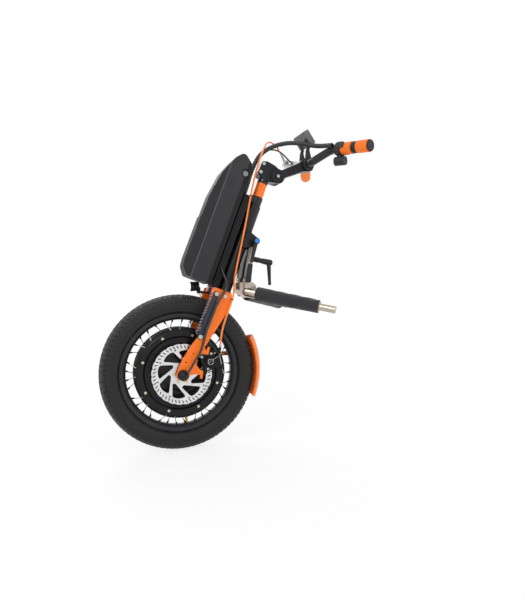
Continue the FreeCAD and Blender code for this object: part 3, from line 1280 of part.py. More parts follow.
def make_brake_perch():
    """The lever's bracket: a ring on the right bar and an arm forward to the lever's pivot."""
    way = (GRIP_TIP - GRIP_FOOT).normalize()
    middle = GRIP_FOOT - way * PERCH_STATION
    middle.x = -middle.x
    way.x = -way.x
    loop = rod(middle - way * 5.0, middle + way * 5.0, BAR_RADIUS + 5.0)
    arm = side_plate([(middle.y - 8.0, middle.z + 10.0, 4.0), (middle.y - 8.0, middle.z - 8.0, 4.0),
                      (LEVER_PIVOT.y - 8.0, LEVER_PIVOT.z - 8.0, 5.0),
                      (LEVER_PIVOT.y - 8.0, LEVER_PIVOT.z + 9.0, 5.0)],
                     middle.x - 9.0, middle.x + 9.0)
    gap = Part.makeBox(30, 37.0, 8.0, vec(middle.x - 15.0, LEVER_PIVOT.y - 14.0,
                                          LEVER_PIVOT.z - 3.8))
    bore = rod(middle - way * 40.0, middle + way * 40.0, BAR_RADIUS)
    barrel = rod(vec(*PERCH_BARREL[0]), vec(*PERCH_BARREL[1]), 4.2)
    pin = rod(LEVER_PIVOT - vec(0, 0, 6.0), LEVER_PIVOT + vec(0, 0, 6.0), LEVER_PIN)
    return loop.fuse(arm).fuse(barrel).cut(gap).fuse(pin).cut(bore).removeSplitter()


def make_brake_lever():
    """The silver lever blade, curved forward of the right grip, and its pivot eye."""
    thick = 3.4
    z = LEVER_PIVOT.z
    pivot = LEVER_PIVOT
    corners = [(pivot.x + 7.0, pivot.y - 9.0, 5.0), (pivot.x + 8.0, pivot.y + 7.0, 5.0),
               (pivot.x - 12.0, pivot.y + 11.0, 14.0), (-160.0, 393.0, 40.0),
               (-206.0, 418.0, 4.0), (-210.0, 410.0, 4.0), (-163.0, 382.0, 40.0),
               (pivot.x - 14.0, pivot.y - 6.0, 14.0)]
    blade = top_plate(corners, z - thick, z + thick)
    eye = rod(pivot - vec(0, 0, 10.0), pivot + vec(0, 0, 10.0), LEVER_PIN + 0.06)
    return blade.cut(eye)


# Docking unit
def tilt_pivot():
    return CHANNEL.multVec(vec(0, TILT_PIVOT_Y, TILT_PIVOT_Z))


def make_upright():
    """A folded stainless channel, open to the front, with a slot for the height clamp."""
    half = CHANNEL_HALF_WIDTH
    wall = CHANNEL_WALL
    depth = CHANNEL_DEPTH
    corners = [(half, 0, 0.5), (half, depth, 4.0), (-half, depth, 4.0), (-half, 0, 0.5),
               (-half + wall, 0, 0.5), (-half + wall, depth - wall, 1.0),
               (half - wall, depth - wall, 1.0), (half - wall, 0, 0.5)]
    channel = top_plate(corners, CHANNEL_BOTTOM, CHANNEL_TOP)
    slot = front_plate([(-4.6, HEIGHT_LEVER_Z - 6.0, 4.5), (4.6, HEIGHT_LEVER_Z - 6.0, 4.5),
                        (4.6, HEIGHT_LEVER_Z + 31.0, 4.5), (-4.6, HEIGHT_LEVER_Z + 31.0, 4.5)],
                       depth - wall - 1, depth + 1)
    return placed(channel.cut(slot), CHANNEL)


def make_slide_bar():
    """The black bar that slides in the channel, with the tilt joint's eye at its top."""
    half = CHANNEL_HALF_WIDTH - CHANNEL_WALL - SLIDE_GAP
    back = CHANNEL_DEPTH - CHANNEL_WALL - SLIDE_GAP
    front = -5.6
    eye = EYE_RADIUS
    bar = side_plate([(front, -2.0, 2.0), (back, -2.0, 1.0),
                      (back, TILT_PIVOT_Z + eye, eye / 2),
                      (TILT_PIVOT_Y - eye, TILT_PIVOT_Z + eye, eye - 0.2),
                      (TILT_PIVOT_Y - eye, TILT_PIVOT_Z - 12.0, 10.0), (front, 42.0, 10.0)],
                     -half, half)
    hole = rod(vec(-40, TILT_PIVOT_Y, TILT_PIVOT_Z), vec(40, TILT_PIVOT_Y, TILT_PIVOT_Z),
               PIVOT_BOLT)
    thread = rod(vec(0, front + 6.0, HEIGHT_LEVER_Z), vec(0, back + 1, HEIGHT_LEVER_Z), 4.0)
    return placed(bar.cut(hole).cut(thread), CHANNEL)


def lever_arm(length, root_radius, tip_radius):
    """A tapered clamping-lever arm along -Z from the hub, with a ball at its end."""
    arm = turned_z([(0, -length, 0), (tip_radius * 0.8, -length, 0), (root_radius * 0.8, 0, 0),
                    (0, 0, 0)])
    ball = Part.makeSphere(tip_radius, vec(0, 0, -length))
    return arm.fuse(ball)


def clamp_lever(hub_length, stud_length, arm_length, arm_lean):
    """A clamping lever: stud, hub, arm and coloured cap. Its axis is X and its arm hangs down."""
    radius = LEVER_HUB_RADIUS
    hub = turned_x([(0, 0, 0), (0, radius - 2.5, 1.0), (hub_length * 0.4, radius - 1.0, 2.0),
                    (hub_length, radius, 2.0), (hub_length, 0, 0)])
    arm = lever_arm(arm_length, 8.0, 5.0)
    arm.rotate(vec(0, 0, 0), Y_AXIS, arm_lean)
    arm.translate(vec(hub_length - 8.0, 0, 0))
    stud = rod(vec(-stud_length, 0, 0), vec(1, 0, 0), PIVOT_BOLT - STUD_GAP)
    cap = Part.makeCylinder(6.0, 2.2, vec(hub_length + 0.05, 0, 0), X_AXIS)
    return Part.Compound([hub.fuse(arm).fuse(stud).removeSplitter(), cap])


def make_tilt_lever():
    """The tilt clamp: its stud is the tilt pivot's own bolt."""
    outer = CHANNEL_HALF_WIDTH + SLIDE_GAP + LUG_WALL + 0.3
    lever = clamp_lever(24.0, 2 * outer + 4.0, 56.0, 0.0)
    nut = Part.makeCylinder(7.5, 6.0, vec(-2 * outer - 6.2, 0, 0), X_AXIS)
    solids = list(lever.Solids)
    solids[0] = solids[0].fuse(nut)
    lever = Part.Compound(solids)
    lever.rotate(vec(0, 0, 0), X_AXIS, -15.0)
    pivot = tilt_pivot()
    return placed(lever, FreeCAD.Placement(vec(outer, pivot.y, pivot.z), FreeCAD.Rotation()))


def make_height_lever():
    """The height clamp behind the channel, screwed into the slide bar through the slot."""
    lever = clamp_lever(38.0, 21.0 + CHANNEL_WALL + 6.0, 60.0, -14.0)
    turn = FreeCAD.Rotation(X_AXIS, Y_AXIS)
    spot = vec(0, CHANNEL_DEPTH + 21.0, HEIGHT_LEVER_Z)
    washer = ring(vec(0, CHANNEL_DEPTH + 0.2, HEIGHT_LEVER_Z), vec(0, CHANNEL_DEPTH + 21.0,
                                                                  HEIGHT_LEVER_Z), 7.5, 4.0)
    lever = placed(lever, FreeCAD.Placement(spot, turn))
    return placed(Part.Compound(list(lever.Solids) + [washer]), CHANNEL)


def make_dock_bracket():
    """The block that joins the channel to both arms."""
    half = BRACKET_HALF_WIDTH
    body = side_plate([(171.0, 446.0, 4.0), (206.0, 446.0, 6.0), (216.0, 436.0, 6.0),
                       (214.0, 404.0, 6.0), (190.0, 404.0, 6.0), (171.0, 416.0, 5.0)], -half, half)
    slot = placed(Part.makeBox(2 * CHANNEL_HALF_WIDTH + 0.2, CHANNEL_DEPTH + 12.1, 80.0,
                               vec(-CHANNEL_HALF_WIDTH - 0.1, -12.0, CHANNEL_BOTTOM)), CHANNEL)
    shape = body.cut(slot)
    for sign in (1, -1):
        start = vec(sign * ARM_START.x, ARM_START.y, ARM_START.z)
        way = vec(sign * ARM_WAY.x, ARM_WAY.y, ARM_WAY.z)
        shape = shape.cut(rod(start - way * 0.1, start + way * 60.0, ARM_SLEEVE_RADIUS))
        ear = side_plate([(180.0, 430.0, 1.0), (195.0, 430.0, 1.0), (194.0, 459.0, 6.0),
                          (181.0, 459.0, 6.0)], sign * (half - 1.0), sign * 41.0)
        foot = ear
        foot = foot.cut(rod(start - way * 10.0, start + way * 60.0, ARM_SLEEVE_RADIUS))
        foot = foot.cut(rod(vec(sign * 30.0, CAM_PIVOT_Y, CAM_PIVOT_Z),
                            vec(sign * 60.0, CAM_PIVOT_Y, CAM_PIVOT_Z), CAM_PIN + 0.06))
        shape = shape.fuse(foot)
    return shape.removeSplitter()


def arm_points(start, end):
    way = ARM_WAY
    return ARM_START + way * start, ARM_START + way * end


def make_arm_sleeve():
    start, end = arm_points(0.0, ARM_LENGTH)
    bore_start, bore_end = arm_points(40.0, ARM_LENGTH + 1.0)
    return rod(start, end, ARM_SLEEVE_RADIUS).cut(
        rod(bore_start, bore_end, ARM_TUBE_RADIUS + ARM_TUBE_GAP))


def make_arm_foam():
    """A foam sleeve with rounded ends over the arm."""
    way = ARM_WAY
    start, end = arm_points(FOAM_START, ARM_LENGTH)
    length = ARM_LENGTH - FOAM_START
    frame = FreeCAD.Placement(start, FreeCAD.Rotation(Z_AXIS, way))
    bore = ARM_SLEEVE_RADIUS + FOAM_GAP
    sleeve = turned_z([(bore, 0, 0), (FOAM_ROOT_RADIUS, 0, FOAM_ROOT_ROUND),
                       (FOAM_TIP_RADIUS, length, FOAM_TIP_ROUND), (bore, length, 0)])
    return placed(sleeve, frame)


def make_arm_tube():
    """The inner tube that slides out of the arm, with a plug behind a ring groove at its end."""
    start, end = arm_points(ARM_TUBE_START, ARM_LENGTH + ARM_TUBE_OUT)
    length = (end - start).Length
    bore = ARM_TUBE_RADIUS - ARM_TUBE_WALL
    plug = length - ARM_PLUG_LENGTH
    groove = ARM_TUBE_RADIUS - ARM_GROOVE_DEPTH
    tube = turned_z([(bore, 0, 0), (ARM_TUBE_RADIUS, 0, 0),
                     (ARM_TUBE_RADIUS, plug - ARM_GROOVE_WIDTH, 0),
                     (groove, plug - ARM_GROOVE_WIDTH, 0), (groove, plug, 0),
                     (ARM_TUBE_RADIUS, plug, 0), (ARM_TUBE_RADIUS, length, ARM_PLUG_ROUND),
                     (0, length, 0), (0, plug - 2 * ARM_GROOVE_WIDTH, 0),
                     (bore, plug - 2 * ARM_GROOVE_WIDTH, 0)])
    return placed(tube, FreeCAD.Placement(start, FreeCAD.Rotation(Z_AXIS, ARM_WAY)))


def make_cam_lever():
    """The cam lever beside each arm's root, standing up when it is locked."""
    x_from = 41.4
    x_to = 52.0
    arm = side_plate([(CAM_PIVOT_Y - 7.5, CAM_PIVOT_Z - 7.0, 6.0),
                      (CAM_PIVOT_Y + 7.5, CAM_PIVOT_Z - 7.0, 6.0),
                      (CAM_PIVOT_Y + 9.0, CAM_PIVOT_Z + 10.0, 8.0),
                      (CAM_PIVOT_Y + 14.0, CAM_PIVOT_Z + 44.0, 4.0),
                      (CAM_PIVOT_Y + 3.5, CAM_PIVOT_Z + 46.0, 4.0),
                      (CAM_PIVOT_Y - 4.0, CAM_PIVOT_Z + 10.0, 8.0)], x_from, x_to)
    pin = rod(vec(35.0, CAM_PIVOT_Y, CAM_PIVOT_Z), vec(x_to + 0.5, CAM_PIVOT_Y, CAM_PIVOT_Z),
              CAM_PIN)
    return arm.fuse(pin).removeSplitter()


# Cords


def cord(points, radius, name):
    return swept([vec(*point) for point in points], radius, name)


def make_cords():
    loom = cord(LOOM, 6.4, "loom_conduit")
    pieces["brake_cable"] = cord(BRAKE_CABLE, 2.5, "brake_cable")
    branch = cord(BRANCH, 2.4, "branch cable").cut(loom)
    pieces["loom_conduit"] = Part.Compound([loom, branch])
    motor = cord(MOTOR_CABLE, 3.4, "motor_cable")
    pieces["motor_cable"] = motor.cut(pieces["axle_nuts"]).cut(pieces["controller_case"])


def make_fork():
    pieces["axle"] = placed(make_axle(), WHEEL)
    pieces["motor_stator"] = placed(make_stator(), WHEEL)
    pieces["axle_nuts"] = placed(make_axle_nuts(), WHEEL)
    pieces["fork_blade_left"] = placed(make_blade(True), COLUMN)
    pieces["fork_blade_right"] = placed(mirrored(make_blade(False)), COLUMN)
    pieces["fork_crown"] = placed(make_crown(), COLUMN)
    pieces["link_bars"] = placed(make_braces(), COLUMN)
    pieces["link_springs"] = placed(make_springs(), COLUMN)
    bolts = [placed(make_fork_bolts(), COLUMN)]
    bolts += [placed(bolt, COLUMN) for bolt in make_stem_bolts()]
    pieces["fork_bolts"] = Part.Compound([solid for bolt in bolts for solid in bolt.Solids])
    pieces["mudguard"] = Part.Compound([make_mudguard(), make_mudguard_stay()])
    pieces["brake_caliper"] = make_brake_caliper()
    pieces["brake_arm"] = make_brake_arm()
    body, lens = make_headlight()
    pieces["headlight_body"] = body
    pieces["headlight_lens"] = lens
    pieces["headlight_bracket"] = make_headlight_bracket()


def make_column():
    cups = [placed(cup, COLUMN) for cup in make_headset()]
    pieces["head_tube"] = Part.Compound([placed(make_head_tube(), COLUMN)] + cups)
    pieces["steerer"] = placed(make_steerer(), COLUMN)
    pieces["column_collars"] = placed(make_collars(), COLUMN)
    case = [placed(make_controller(), COLUMN), placed(make_battery_rail(), COLUMN)]
    pieces["controller_case"] = Part.Compound(case)
    lower, upper, lock = make_battery()
    pieces["battery_lower"] = placed(lower, COLUMN)
    pieces["battery_upper"] = placed(upper, COLUMN)
    pieces["battery_lock"] = placed(lock, COLUMN)


def make_stem():
    pieces["stem_base"] = placed(make_stem_base(), COLUMN)
    pieces["stem_arm"] = make_stem_arm()
    pieces["bar_clamp"] = make_bar_clamp()
    pieces["handlebar"] = make_handlebar()
    pieces["grip_left"] = make_grip_left()
    pieces["grip_right"] = make_grip_right()
    pieces["throttle_sleeve"] = make_throttle_sleeve()
    pieces["throttle_housing"] = make_throttle_housing()
    pieces["horn_button"] = make_horn_button()
    case, screen = make_display()
    pieces["display_case"] = case
    pieces["display_screen"] = screen
    pieces["display_bracket"] = make_display_bracket()
    pieces["brake_perch"] = make_brake_perch().cut(pieces["handlebar"])
    pieces["brake_lever"] = make_brake_lever()


def make_dock():
    pieces["upright"] = make_upright()
    pieces["slide_bar"] = make_slide_bar()
    pieces["dock_bracket"] = make_dock_bracket()
    sleeve = make_arm_sleeve()
    foam = make_arm_foam()
    tube = make_arm_tube()
    lever = make_cam_lever()
    pieces["arm_sleeves"] = Part.Compound([sleeve, mirrored(sleeve)])
    pieces["arm_foams"] = Part.Compound([foam, mirrored(foam)])
    pieces["arm_tube_left"] = tube
    pieces["arm_tube_right"] = mirrored(tube)
    pieces["arm_lever_left"] = lever
    pieces["arm_lever_right"] = mirrored(lever)
    pieces["tilt_lever"] = make_tilt_lever()
    pieces["height_lever"] = make_height_lever()


make_wheel()
make_fork()
make_column()
make_stem()
make_dock()
make_cords()
for name, shape in pieces.items():
    shape.exportStep("parts/%s.step" % name)
print(len(pieces), "pieces")
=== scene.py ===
"""Dresses a clip-on wheelchair front drive: finishes for its solid parts, and the tyre's tread,
grips, cords, foam sleeves and small trim that the solids leave plain. Sizes are in metres."""
import math
import random

import bmesh
import bpy
from bpy.props import FloatProperty, FloatVectorProperty, IntProperty, PointerProperty
from bpy.types import Operator, Panel, PropertyGroup
from mathutils import Matrix, Vector


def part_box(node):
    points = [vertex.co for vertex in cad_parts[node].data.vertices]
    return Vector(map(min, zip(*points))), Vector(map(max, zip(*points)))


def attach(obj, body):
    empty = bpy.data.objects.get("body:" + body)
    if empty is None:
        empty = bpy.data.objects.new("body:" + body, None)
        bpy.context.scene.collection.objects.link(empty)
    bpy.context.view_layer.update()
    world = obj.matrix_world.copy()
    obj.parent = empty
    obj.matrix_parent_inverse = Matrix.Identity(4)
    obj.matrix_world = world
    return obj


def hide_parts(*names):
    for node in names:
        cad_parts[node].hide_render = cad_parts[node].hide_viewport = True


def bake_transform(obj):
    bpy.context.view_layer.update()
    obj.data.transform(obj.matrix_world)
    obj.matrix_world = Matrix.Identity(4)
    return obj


bl_info = {
    "name": "Wheelchair power assist",
    "version": (1, 0, 0),
    "blender": (4, 5, 0),
    "location": "View3D > Sidebar > Power assist",
    "description": "Builds the finishes, tread, grips, cords, foam and studio of a wheelchair drive",
    "category": "Add Mesh",
}

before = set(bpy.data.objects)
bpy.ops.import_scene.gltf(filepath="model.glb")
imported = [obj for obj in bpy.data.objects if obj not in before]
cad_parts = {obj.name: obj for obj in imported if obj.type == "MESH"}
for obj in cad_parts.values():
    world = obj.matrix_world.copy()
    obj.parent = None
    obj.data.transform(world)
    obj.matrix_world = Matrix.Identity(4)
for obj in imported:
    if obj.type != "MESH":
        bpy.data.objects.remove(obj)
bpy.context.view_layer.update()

WHEEL_CENTRE = Vector((0.0, 0.0, 0.2095))
COLUMN_FOOT = Vector((0.0, 0.044, 0.2095))
COLUMN_UP = Vector((0.0, 0.374607, 0.927184))
COLUMN_BACK = Vector((0.0, 0.927184, -0.374607))
GRIP_FOOT = Vector((0.130, 0.440, 0.798))
GRIP_TIP = Vector((0.213, 0.4761, 0.7881))
GRIP_WAY = (GRIP_TIP - GRIP_FOOT).normalized()
STEM_PIVOT = Vector((0.0, 0.2926, 0.7407))
ARM_START = Vector((0.029, 0.187, 0.4194))
ARM_WAY = Vector((0.593, 0.778, -0.206)).normalized()

# Routes of the cords, as points on the way from one end to the other
BRAKE_ROUTE = (
    (-0.10198, 0.35335, 0.82476), (-0.1006, 0.3427, 0.8439), (-0.0870, 0.3230, 0.8585),
    (-0.0610, 0.2990, 0.8570), (-0.0340, 0.2800, 0.8460), (-0.0090, 0.2655, 0.8295),
    (0.0080, 0.2470, 0.7970), (0.0240, 0.2260, 0.7490), (0.0320, 0.2118, 0.7026),
    (0.0330, 0.2005, 0.6550), (0.0290, 0.1910, 0.6070), (0.0305, 0.1770, 0.5500),
    (0.0310, 0.1630, 0.4960), (0.0345, 0.1535, 0.4570), (0.0470, 0.1475, 0.4325),
    (0.0640, 0.1425, 0.4170), (0.0710, 0.1315, 0.3895), (0.0695, 0.1180, 0.3580),
    (0.0655, 0.1075, 0.3250), (0.0623, 0.1029, 0.2970), (0.0620, 0.1011, 0.2753),
)
LOOM_ROUTE = (
    (0.0000, 0.19607, 0.68733), (0.0000, 0.20656, 0.7133), (-0.0010, 0.2175, 0.7475),
    (-0.0040, 0.2325, 0.7800), (-0.0100, 0.2520, 0.8070), (-0.0130, 0.2790, 0.8260),
    (-0.0080, 0.3090, 0.8370), (0.0040, 0.3380, 0.8405), (0.0250, 0.3635, 0.8345),
    (0.0510, 0.3845, 0.8230), (0.0800, 0.4015, 0.8150), (0.1154, 0.4162, 0.8098),
)
BRANCH_ROUTE = (
    (-0.0120, 0.2840, 0.8220), (-0.0280, 0.3020, 0.8260), (-0.0500, 0.3240, 0.8280),
    (-0.0700, 0.3460, 0.8230), (-0.0860, 0.3660, 0.8130), (-0.0994, 0.3850, 0.8038),
)
MOTOR_ROUTE = (
    (0.0285, 0.1190, 0.4860), (0.0380, 0.1220, 0.4700), (0.0500, 0.1270, 0.4510),
    (0.0645, 0.1220, 0.4330), (0.0750, 0.1080, 0.4140), (0.0760, 0.0935, 0.3940),
    (0.0760, 0.0830, 0.3700), (0.0760, 0.0720, 0.3450), (0.0760, 0.0600, 0.3190),
    (0.0760, 0.0530, 0.2910), (0.0760, 0.0440, 0.2660), (0.0770, 0.0290, 0.2460),
    (0.0800, 0.0170, 0.2280), (0.0825, 0.0080, 0.2175),
)


def linear(red, green, blue):
    """A colour given as it shows on a screen, from 0 to 255, in the renderer's own scale."""
    def channel(value):
        value /= 255.0
        return value / 12.92 if value <= 0.04045 else ((value + 0.055) / 1.055) ** 2.4
    return (channel(red), channel(green), channel(blue))


# Sizes and colours that a user may change
class WheelSizes(PropertyGroup):
    tread_blocks: IntProperty(name="Tread blocks", default=92, min=60, max=400,
                              description="Blocks in one row round the tyre")
    tread_depth: FloatProperty(name="Tread depth", default=0.0030, unit="LENGTH",
                               description="Depth of the grooves between the blocks")
    ring_height: FloatProperty(name="Hub ring height", default=0.0007, unit="LENGTH",
                               description="Height of the turned rings on the hub's covers")


class GripSizes(PropertyGroup):
    knurl_pitch: FloatProperty(name="Knurl pitch", default=0.0034, unit="LENGTH",
                               description="Distance between two ridges of the grip's pattern")
    knurl_height: FloatProperty(name="Knurl height", default=0.0006, unit="LENGTH",
                                description="Height of the grip's ridges")


class CordSizes(PropertyGroup):
    brake_radius: FloatProperty(name="Brake cable radius", default=0.0025, unit="LENGTH",
                                description="Half the thickness of the orange outer cable")
    loom_radius: FloatProperty(name="Loom radius", default=0.0064, unit="LENGTH",
                               description="Half the thickness of the wrapped loom")
    branch_radius: FloatProperty(name="Branch radius", default=0.0024, unit="LENGTH",
                                 description="Half the thickness of the loom's branch")
    motor_radius: FloatProperty(name="Motor cable radius", default=0.0034, unit="LENGTH",
                                description="Half the thickness of the motor's cable")
    wrap_pitch: FloatProperty(name="Wrap pitch", default=0.0085, unit="LENGTH",
                              description="Advance of the spiral wrap in one turn")


class FoamSizes(PropertyGroup):
    wrinkle: FloatProperty(name="Wrinkle", default=0.0004, unit="LENGTH",
                           description="Height of the foam's uneven surface")


class PaintColours(PropertyGroup):
    orange: FloatVectorProperty(name="Orange", subtype="COLOR", size=3, min=0, max=1,
                                default=linear(255, 118, 12),
                                description="Paint of the fork, crown, collar and mudguard")
    grip_orange: FloatVectorProperty(name="Grip orange", subtype="COLOR", size=3, min=0, max=1,
                                     default=linear(255, 124, 36),
                                     description="Rubber of the grips")
    black: FloatVectorProperty(name="Black", subtype="COLOR", size=3, min=0, max=1,
                               default=linear(25, 25, 27),
                               description="Black paint and anodising")
    charcoal: FloatVectorProperty(name="Charcoal", subtype="COLOR", size=3, min=0, max=1,
                                  default=linear(50, 49, 52),
                                  description="The battery's matte case")
    stainless: FloatVectorProperty(name="Stainless", subtype="COLOR", size=3, min=0, max=1,
                                   default=linear(196, 186, 172),
                                   description="Brushed steel of the docking unit")
    cap_blue: FloatVectorProperty(name="Cap blue", subtype="COLOR", size=3, min=0, max=1,
                                  default=linear(48, 140, 232),
                                  description="Caps of the clamping levers")


class StudioSettings(PropertyGroup):
    floor_size: FloatProperty(name="Floor size", default=14.0, unit="LENGTH",
                              description="Side of the pale floor")
    key_power: FloatProperty(name="Key light", default=31.0, description="Watts of the key light")
    fill_power: FloatProperty(name="Fill light", default=17.0,
                              description="Watts of the fill light")
    surround: FloatProperty(name="Surround", default=0.74,
                            description="Strength of the plain white surroundings")
    rim_power: FloatProperty(name="Rim light", default=22.0,
                             description="Watts of the light behind the object")


# Finishes
class Finish:
    """A material while it is being made: its tree, its shader and its last bump."""

    def __init__(self, name, roughness=0.5, metallic=0.0, coat=0.0, specular=0.5):
        self.material = bpy.data.materials.new(name)
        self.material.use_nodes = True
        self.tree = self.material.node_tree
        self.shader = self.tree.nodes["Principled BSDF"]
        self.shader.inputs["Roughness"].default_value = roughness
        self.shader.inputs["Metallic"].default_value = metallic
        self.shader.inputs["Coat Weight"].default_value = coat
        self.shader.inputs["Coat Roughness"].default_value = 0.12
        self.shader.inputs["Specular IOR Level"].default_value = specular
        self.colour = None
        self.normal = None

    def node(self, kind, **values):
        made = self.tree.nodes.new(kind)
        for name, value in values.items():
            setattr(made, name, value)
        return made

    def join(self, source, target):
        self.tree.links.new(source, target)

    def place(self, scale=(1, 1, 1), turn=(0, 0, 0), shift=(0, 0, 0)):
        """Where on the object a point is, in metres, stretched or turned for a texture."""
        where = self.node("ShaderNodeTexCoord")
        mapping = self.node("ShaderNodeMapping")
        mapping.inputs["Scale"].default_value = scale
        mapping.inputs["Rotation"].default_value = turn
        mapping.inputs["Location"].default_value = shift
        self.join(where.outputs["Object"], mapping.inputs["Vector"])
        return mapping.outputs["Vector"]

    def noise(self, scale, detail=4.0, stretch=(1, 1, 1), turn=(0, 0, 0)):
        made = self.node("ShaderNodeTexNoise")
        made.inputs["Scale"].default_value = scale
        made.inputs["Detail"].default_value = detail
        self.join(self.place(stretch, turn), made.inputs["Vector"])
        return made.outputs["Fac"]

    def cells(self, scale, stretch=(1, 1, 1)):
        made = self.node("ShaderNodeTexVoronoi")
        made.inputs["Scale"].default_value = scale
        self.join(self.place(stretch), made.inputs["Vector"])
        return made.outputs["Distance"]

    def span(self, value, low, high, to_low=0.0, to_high=1.0):
        made = self.node("ShaderNodeMapRange")
        made.inputs["From Min"].default_value = low
        made.inputs["From Max"].default_value = high
        made.inputs["To Min"].default_value = to_low
        made.inputs["To Max"].default_value = to_high
        self.join(value, made.inputs["Value"])
        return made.outputs["Result"]

    def maths(self, kind, value, other=None):
        made = self.node("ShaderNodeMath", operation=kind)
        self.join(value, made.inputs[0])
        if isinstance(other, float):
            made.inputs[1].default_value = other
        elif other is not None:
            self.join(other, made.inputs[1])
        return made.outputs[0]

    def along(self, way, origin):
        """How far a point lies along a direction from an origin, in metres."""
        made = self.node("ShaderNodeVectorMath", operation="DOT_PRODUCT")
        self.join(self.place(shift=tuple(-origin)), made.inputs[0])
        made.inputs[1].default_value = tuple(way)
        return made.outputs["Value"]

    def off_line(self, way, origin):
        """How far a point lies from a line, in metres."""
        cross = self.node("ShaderNodeVectorMath", operation="CROSS_PRODUCT")
        self.join(self.place(shift=tuple(-Vector(origin))), cross.inputs[0])
        cross.inputs[1].default_value = tuple(way)
        made = self.node("ShaderNodeVectorMath", operation="LENGTH")
        self.join(cross.outputs["Vector"], made.inputs[0])
        return made.outputs["Value"]

    def off_axle(self):
        """How far a point lies from the axle's line, in metres."""
        made = self.node("ShaderNodeVectorMath", operation="LENGTH")
        shift = (0, -WHEEL_CENTRE.y, -WHEEL_CENTRE.z)
        self.join(self.place(scale=(0, 1, 1), shift=shift), made.inputs[0])
        return made.outputs["Value"]

    def blend(self, mask, low_colour, high_colour):
        """A colour that runs from one to the other with the mask."""
        made = self.node("ShaderNodeMix", data_type="RGBA")
        self.join(mask, made.inputs["Factor"])
        for socket, value in ((made.inputs[6], low_colour), (made.inputs[7], high_colour)):
            if isinstance(value, bpy.types.NodeSocket):
                self.join(value, socket)
            else:
                socket.default_value = (*value, 1.0)
        return made.outputs[2]

    def paint(self, colour):
        self.colour = colour
        self.join(colour, self.shader.inputs["Base Color"])

    def mottle(self, colour, spread=0.12, scale=30.0, stretch=(1, 1, 1)):
        """The colour a little darker and lighter from place to place."""
        dark = tuple(value * (1 - spread) for value in colour)
        light = tuple(min(1.0, value * (1 + spread)) for value in colour)
        mask = self.span(self.noise(scale, 5.0, stretch), 0.3, 0.7)
        return self.blend(mask, dark, light)

    def wear(self, low, high, scale=55.0, stretch=(1, 1, 1)):
        """Roughness that changes from place to place, as handling and dust leave it."""
        mask = self.noise(scale, 6.0, stretch)
        self.join(self.span(mask, 0.3, 0.7, low, high), self.shader.inputs["Roughness"])

    def bump(self, height, distance, strength=1.0):
        made = self.node("ShaderNodeBump")
        made.inputs["Strength"].default_value = strength
        made.inputs["Distance"].default_value = distance
        self.join(height, made.inputs["Height"])
        if self.normal is not None:
            self.join(self.normal, made.inputs["Normal"])
        self.normal = made.outputs["Normal"]
        self.join(self.normal, self.shader.inputs["Normal"])


def gloss_paint(name, colour, coat=0.3):
    """Sprayed paint under a clear coat, with a faint orange-peel surface."""
    finish = Finish(name, coat=coat, specular=0.3)
    finish.paint(finish.mottle(colour, 0.05, 18.0))
    finish.wear(0.30, 0.42)
    finish.bump(finish.noise(900.0, 2.0), 0.00006, 0.35)
    return finish.material


def satin_black(name, colour, metallic=0.35, low=0.32, high=0.46):
    """Black anodising or powder coat with a fine grain."""
    finish = Finish(name, metallic=metallic, specular=0.3)
    finish.paint(finish.mottle(colour, 0.18, 40.0))
    finish.wear(low, high)
    finish.bump(finish.noise(2600.0, 3.0), 0.00005, 0.45)
    return finish.material


def moulded_black(name, colour, low=0.42, high=0.6):
    """Moulded plastic with a spark-eroded grain."""
    finish = Finish(name, specular=0.28)
    finish.paint(finish.mottle(colour, 0.14, 60.0))
    finish.wear(low, high)
    finish.bump(finish.cells(1500.0), 0.00008, 0.4)
    return finish.material


def brushed(name, colour, stretch, low=0.26, high=0.42):
    """Steel brushed along one direction."""
    finish = Finish(name, metallic=1.0)
    lines = finish.noise(900.0, 6.0, stretch)
    dark = tuple(value * 0.78 for value in colour)
    finish.paint(finish.blend(finish.span(lines, 0.3, 0.7), dark, colour))
    finish.join(finish.span(lines, 0.3, 0.7, low, high), finish.shader.inputs["Roughness"])
    finish.bump(lines, 0.00004, 0.5)
    return finish.material


def turned_steel(name, colour):
    """Bright steel with fine turning marks round the axle."""
    finish = Finish(name, metallic=1.0)
    marks = finish.maths("SINE", finish.maths("MULTIPLY", finish.off_axle(), 9000.0))
    finish.paint(finish.mottle(colour, 0.1, 60.0))
    finish.wear(0.2, 0.34)
    finish.bump(marks, 0.00002, 0.5)
    return finish.material


def turned_black(name, colour):
    """The hub's black covers, with turning marks round the axle."""
    finish = Finish(name, metallic=0.5, coat=0.12, specular=0.3)
    marks = finish.maths("SINE", finish.maths("MULTIPLY", finish.off_axle(), 5200.0))
    finish.paint(finish.mottle(colour, 0.15, 30.0))
    finish.wear(0.22, 0.32)
    finish.bump(marks, 0.00003, 0.3)
    finish.bump(finish.noise(2200.0, 2.0), 0.00004, 0.3)
    return finish.material


def spoke_steel(name, colour, black):
    """Drawn steel spokes whose nipples are black."""
    finish = Finish(name, metallic=0.9)
    nipple = finish.maths("GREATER_THAN", finish.off_axle(), 0.1336)
    finish.paint(finish.blend(nipple, finish.mottle(colour, 0.1, 200.0), black))
    finish.wear(0.22, 0.34, 300.0)
    finish.bump(finish.noise(3000.0, 2.0), 0.00002, 0.3)
    return finish.material


def tyre_rubber(name):
    """Black rubber with mould marks, and lighter grey patches on the tread's crown that are partly
    dust and partly painted highlight.
    """
    finish = Finish(name, specular=0.3)
    tread = finish.span(finish.off_axle(), TREAD_LOW, TREAD_HIGH)
    # Partly dust, partly painted highlight: the tread's crown is painted lighter grey in patches
    dust_and_highlight = finish.maths("MULTIPLY", finish.span(finish.noise(90.0, 8.0), 0.35, 0.65), tread)
    finish.paint(finish.blend(dust_and_highlight, linear(30, 29, 31), linear(88, 87, 84)))
    finish.wear(0.34, 0.52, 90.0)
    finish.bump(finish.noise(1400.0, 6.0), 0.00014, 0.5)
    return finish.material


